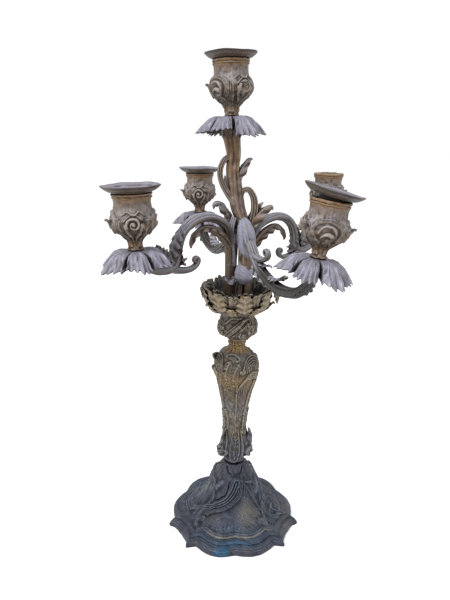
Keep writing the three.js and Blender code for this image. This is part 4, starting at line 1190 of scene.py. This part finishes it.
# Up the outside of a drip ring, over its rim and down its inside: [radius, height] runs and their points.
BOBECHE_RUNS = [
    ([[11.0, -8], [11.6, -8]], 3),
    ([[11.6, -7.4], [11.6, -0.6]], 8),
    ([[11.8, 0.0], [15, 0.1], [18.6, 0.3], [22.6, 1.9], [25.6, 4.0], [26.9, 5.3]], 26),
    ([[27.2, 5.6], [27.3, 6.1], [26.8, 6.4]], 5),
    ([[26.2, 6.2], [23, 4.3], [19.4, 2.3], [16, 1.7], [12.6, 1.6]], 26),
    ([[11.4, 1.9], [11.0, 1.4]], 3),
    ([[11.0, 0.6], [11.0, -7.2]], 8),
]
BOBECHE_TILT = 6.0  # the front right one sits tipped in its socket, right side down
CROOKED_PLACE = (0.4, 2.1)


def make_bobeche(name, seed, crooked=False):
    foot, across, up, scale = light_place(name)
    chosen = np.random.default_rng(seed)
    columns = 240
    angle = np.radians(np.arange(columns) * 360 / columns)[None, :]
    profile = np.concatenate([spline(run, count) for run, count in BOBECHE_RUNS])
    radius, height = profile[:, :1], profile[:, 1:]
    out = smoothstep(15, 27, radius)
    wave = np.cos(5 * angle + chosen.uniform(0, 6)) * 0.45 + np.cos(3 * angle + chosen.uniform(0, 6)) * 0.3
    dents = 0
    for k in range(6, 15):
        dents = dents + chosen.uniform(-0.28, 0.28) * np.cos(k * angle + chosen.uniform(0, 6))
    radius = radius + out * (0.45 * wave + 0.4 * dents - 0.5)
    height = height + out * (0.5 * wave + 0.3 * dents)
    rings = wrapped(radius, height, np.degrees(angle) + 90)
    # Tones paint a highlight along the rim's bead and shade on the nozzle inside the socket. The outside
    # and underside take the dark warm stain in full and the top a quarter of it, partly the bronze's brown
    # and partly painted shade under the ring.
    bead = np.cos(np.pi * (profile[:, :1] - 24.5) / 2.2)
    tone = np.clip(0.25 * dents + 0.45 * out * bead - 0.15, -1, 1) * np.ones_like(angle)
    tone[profile[:, 0] <= 11.7] = -0.5
    stain = np.where(np.arange(len(profile)) < len(profile) // 2, 1.0, 0.25)[:, None]
    seat = foot + (SOCKET_HEIGHT * scale + GAP) * up
    if crooked:
        c, s = math.cos(math.radians(BOBECHE_TILT)), math.sin(math.radians(BOBECHE_TILT))
        seat = seat + CROOKED_PLACE[0] * across + CROOKED_PLACE[1] * up
        across, up = c * across - s * up, s * across + c * up
    dish = Casting().skin(placed(rings, seat, across, up), tone, stain, closed=True)
    dish.finish("drip_ring_" + name, PAN_BRONZE, "dusty_bronze", ["bobeche_" + name], "bobeche_" + name)


# ---- Arms ----

BOWL_FLOOR_TOP = 295.3
ROOT_TOP = {"front_left": 366, "front_right": 358, "back_left": 360, "back_right": 356}
SHIFT = {"front_left": 0, "front_right": 2, "back_left": 9, "back_right": 10}
ARCHED = ("front_left", "back_right")


def make_arm(name):
    foot, light_across, up, _ = light_place(name)
    seat = foot - (PAN_THICKNESS + 2 * GAP) * up
    bearing = math.atan2(seat[1], seat[0])
    out = np.array([math.cos(bearing), math.sin(bearing), 0])
    side = np.array([-out[1], out[0], 0])
    root = box_middle("arm_nut_" + name)
    lift = -SHIFT[name] if name in ARCHED else SHIFT[name]

    def at(places):
        """[distance, height] places of the arm's plane in space."""
        return climbing(out, [[distance, height + lift] for distance, height in places])

    top = ROOT_TOP[name]
    upright = [[root[0], root[1], z] for z in (BOWL_FLOOR_TOP, 305, 320, 338, top)]
    casting = Casting()
    casting.skin(pipe(upright, [4.6, 4.0, 3.9, 3.9, 4.0, 4.4], 60, 32, 0.015), -0.35, 0.8)
    root[2] = 0
    casting.skin(root + turned([[5.2, BOWL_FLOOR_TOP], [5.9, 296.4], [5.7, 298.4], [4.6, 300.6],
        [3.4, 302]], 40))
    casting.skin(root + turned([[1.6, 286.2], [2.1, 287], [2.1, 297]], 24))
    end = [list(seat - 8.5 * up), list(seat - 4.5 * up), list(seat - 0.2 * up)]
    if name in ARCHED:
        arch = [[27, 388], [42, 395], [60, 397], [75, 393], [86, 384], [91, 372], [93, 362]]
        run = [upright[3], upright[4]] + at(arch) + at([[99, 352.5], [112, 351.5], [127, 357]]) + end
        widths = [3.9, 4.4, 5.6, 6.4, 6.8, 6.8, 6.4, 6.0, 5.6, 5.4, 5.2, 5.2, 6.4]
        heights = [3.9, 4.2, 4.2, 4.0, 4.0, 4.2, 4.2, 4.2, 4.2, 4.2, 4.4, 4.8, 6.2]
        casting.add_strap(run, side, widths, heights, 2.0, [0.0, 0.16, 0.2, 0.2, 0.2, 0.16, 0.1, 0.0],
            240, 52)
        # The inner leaf, ribbed like the arch and serrated along its lower edge.
        inner = [[17, 362], [28, 374], [40, 382], [51, 385.6], [61, 385], [69, 380.4], [73.6, 373.4],
            [73, 367.6]]
        casting.add_leaf(at(inner), side, 8.6, 6, thick=2.6, cup=0.45, tooth=0.3, base=0.6, steps=90,
            stain=0.7)
        casting.add_strap(at(inner[:-1]), side, [3, 3.6, 3.4, 2.6, 1.2], [3.6, 4.0, 3.6, 2.6, 1.2], 1.5,
            0.2, 90, 32, stain=0.7)
        # The spur: a scroll that runs back towards the stem and ends in a curl.
        spur = curl([[103, 352], [93, 348.6], [81, 346.4], [71, 347.4], [64.6, 351.6]], 3.6, 1.15, -1)
        casting.add_strap(at(spur), side, [5.0, 5.4, 5.0, 4.4, 4.0, 3.6, 3.2, 2.6],
            [3.4, 3.6, 3.2, 2.9, 2.5, 2.2, 1.8, 1.2], 1.5, 0.24, 150, 34)
        # Ragged leaves where the arch meets the spur.
        casting.add_leaf(at([[80, 392], [90, 384], [96.5, 374], [99.5, 364], [102.6, 355],
            [108, 349.6]]), side, 8.6, 6, thick=2.2, cup=0.35, tooth=0.42, base=0.5, steps=84)
        casting.add_leaf(at([[88, 380], [89.6, 370], [88.4, 360], [84.4, 353.6], [80, 352.6]]), side,
            8.6, 5, thick=2.0, cup=-0.3, tooth=0.42, steps=60)
        casting.add_leaf(at([[94, 355], [101, 359.6], [108.6, 365], [115, 371.4], [118, 378]]), None,
            8.4, 5, thick=2.0, cup=0.3, tooth=0.46, steps=60, face=[0.2, -1, 0.3], stain=-0.6)
        casting.add_leaf(at([[92, 364], [99, 364.4], [106, 361], [112, 356]]), None, 6.6, 4, thick=2.0,
            cup=0.3, tooth=0.46, steps=50, face=[0.1, -1, 0.6], stain=-0.6)
        casting.add_leaf(at([[98, 352], [90, 353.8], [83, 357.6], [78.4, 358.4]]), side, 4.8, 3,
            thick=1.8, cup=0.3, tooth=0.4, steps=44)
    else:
        sweep = [[24, 364], [35, 351], [48, 341], [64, 334], [82, 330], [98, 331], [113, 335]]
        run = [upright[3], upright[4]] + at(sweep) + at([[125, 343.5], [133, 352]]) + end
        widths = [3.9, 4.4, 5.4, 6.0, 6.2, 6.4, 6.6, 6.8, 6.6, 6.0, 5.4, 5.2, 6.4]
        heights = [3.9, 4.0, 4.0, 4.2, 4.4, 4.8, 5.2, 5.2, 4.8, 4.6, 4.6, 4.8, 6.2]
        rings, tones = strap(run, side, widths, heights, 2.0,
            [0.0, 0.14, 0.2, 0.2, 0.2, 0.18, 0.12, 0.0], 240, 52)
        # Painted shade on the end of the sweep, where the arm's underside curves up to the pan: darker
        # tones and the arm's dark stain colour.
        shaded_end = smoothstep(0.3, 0.44, np.linspace(0, 1, 240))[:, None]
        casting.skin(rings, tones - 0.7 * shaded_end, -0.9 * shaded_end)
        # The upper scroll, curled back on itself at its end.
        scroll = curl([[12, 372], [18, 364], [27, 357], [38, 353.0], [49, 352.6], [58, 356.6]], 4.6,
            1.15, 1)
        casting.add_strap(at(scroll), side, [3.6, 5.0, 5.4, 5.2, 4.8, 4.2, 3.6, 3.0, 2.2],
            [2.8, 3.4, 3.4, 3.0, 2.8, 2.4, 2.0, 1.6, 1.0], 1.5, 0.24, 160, 36)
        # Leaves along the sweep: one cups its underside, its far half darkened as painted shade, and one
        # springs off its back.
        casting.add_leaf(at([[30, 352], [42, 341.6], [55, 334.6], [68, 330], [80, 327.8]]), side, 8.0,
            5, thick=2.2, cup=0.5, tooth=0.24, base=0.5, steps=80,
            stain=-0.8 * smoothstep(0.5, 0.8, np.linspace(0, 1, 80))[:, None])
        casting.add_leaf(at([[60, 338], [72, 337.6], [83, 340.4], [92, 345.4], [97, 345]]), side, 6.6,
            5, thick=2.2, cup=0.4, tooth=0.42, steps=64)
        casting.add_leaf(at([[34, 354], [44, 349], [55, 347.4], [64, 349.6], [68, 348]]), side, 5.0, 4,
            thick=1.8, cup=0.35, tooth=0.4, steps=50)
        # This leaf takes the dark stain colour in full, as painted shade under the end of the sweep.
        casting.add_leaf(at([[104, 331], [116, 334.6], [126, 342], [133.4, 351], [137, 358]]), side,
            7.0, 5, thick=2.0, cup=0.45, tooth=0.35, steps=60, stain=-1.0)
    collar = turned([[4.6, -11], [6.0, -8], [6.9, -4.6], [7.0, -0.2], [6.4, 0.0]], 48)
    casting.skin(placed(collar, seat, light_across, up))
    casting.finish("cast_arm_" + name, ARM_BRONZE, "dusty_bronze", ["arm_" + name])


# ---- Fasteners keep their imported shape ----


def finish_fasteners():
    names = ["base_washer", "base_nut", "tie_rod"] + ["arm_nut_" + name for name in SIDE_LIGHTS]
    names += ["socket_screw_" + name for name in ("top",) + SIDE_LIGHTS]
    for name in names:
        nodes[name].data.materials.clear()
        nodes[name].data.materials.append(OLD_STEEL)


# ---- Stage ----

CAMERA_PLACE = (-15.0, -569.0, 481.0)
CAMERA_PITCH, CAMERA_ROLL = 18.0, 1.0
CAMERA_LENS = 31.26


def make_camera():
    camera = bpy.data.objects.new("camera", bpy.data.cameras.new("camera"))
    camera.data.lens = CAMERA_LENS
    camera.data.sensor_width = 36.0
    camera.data.clip_start = 0.02
    camera.location = Vector(np.array(CAMERA_PLACE) * MM + AXIS)
    aim = Euler((math.radians(90 - CAMERA_PITCH), 0, 0)).to_matrix()
    camera.rotation_euler = (aim @ Euler((0, 0, math.radians(CAMERA_ROLL))).to_matrix()).to_euler()
    bpy.context.scene.collection.objects.link(camera)
    bpy.context.scene.camera = camera


def add_light(name, place, target, size, power, colour):
    lamp = bpy.data.objects.new(name, bpy.data.lights.new(name, "AREA"))
    lamp.data.shape = "DISK"
    lamp.data.size = size
    lamp.data.energy = power
    lamp.data.color = colour
    lamp.location = place
    lamp.rotation_euler = (Vector(target) - Vector(place)).to_track_quat("-Z", "Y").to_euler()
    bpy.context.scene.collection.objects.link(lamp)


def make_stage():
    world = bpy.data.worlds.new("studio")
    world.use_nodes = True
    world.node_tree.nodes["Background"].inputs["Color"].default_value = (1.0, 1.0, 1.0, 1.0)
    world.node_tree.nodes["Background"].inputs["Strength"].default_value = 1.06
    bpy.context.scene.world = world
    centre = (0.0, 0.0, 0.3)
    add_light("key", (-0.9, -1.1, 1.9), centre, 0.7, 42, (1.0, 0.99, 0.97))
    add_light("fill", (1.6, -0.9, 1.2), centre, 1.4, 5, (0.93, 0.95, 1.0))
    add_light("back", (0.4, 1.7, 1.5), centre, 1.2, 7, (0.95, 0.96, 1.0))
    floor_mesh = bpy.data.meshes.new("floor")
    reach = 14.0
    floor_mesh.from_pydata([(-reach, -reach, 0), (reach, -reach, 0), (reach, reach, 0),
        (-reach, reach, 0)], [], [(0, 1, 2, 3)])
    floor = bpy.data.objects.new("floor", floor_mesh)
    floor.location.z = -0.0004
    paper = Shader("paper")
    paper.surface.inputs["Roughness"].default_value = 0.9
    pale = paper.mix(paper.ramp(paper.noise(3.0), 0.3, 0.7), linear((249, 249, 250)),
        linear((252, 252, 253)))
    paper.tree.links.new(pale, paper.surface.inputs["Base Color"])
    floor_mesh.materials.append(paper.material)
    bpy.context.scene.collection.objects.link(floor)
    bpy.context.scene.view_settings.view_transform = "Standard"


make_camera()
make_stage()
make_base()
make_baluster()
make_knop()
make_bowl()
make_stem()
for arm in SIDE_LIGHTS:
    make_arm(arm)
make_light("top", -50, 1.0)
make_light("front_left", 100, 1.0)
make_light("front_right", -2, 1.0)
make_light("back_left", 90, 1.2)
make_light("back_right", 20, 1.2)
make_bobeche("top", 1)
make_bobeche("front_left", 2)
make_bobeche("front_right", 3, crooked=True)
make_bobeche("back_left", 4)
finish_fasteners()
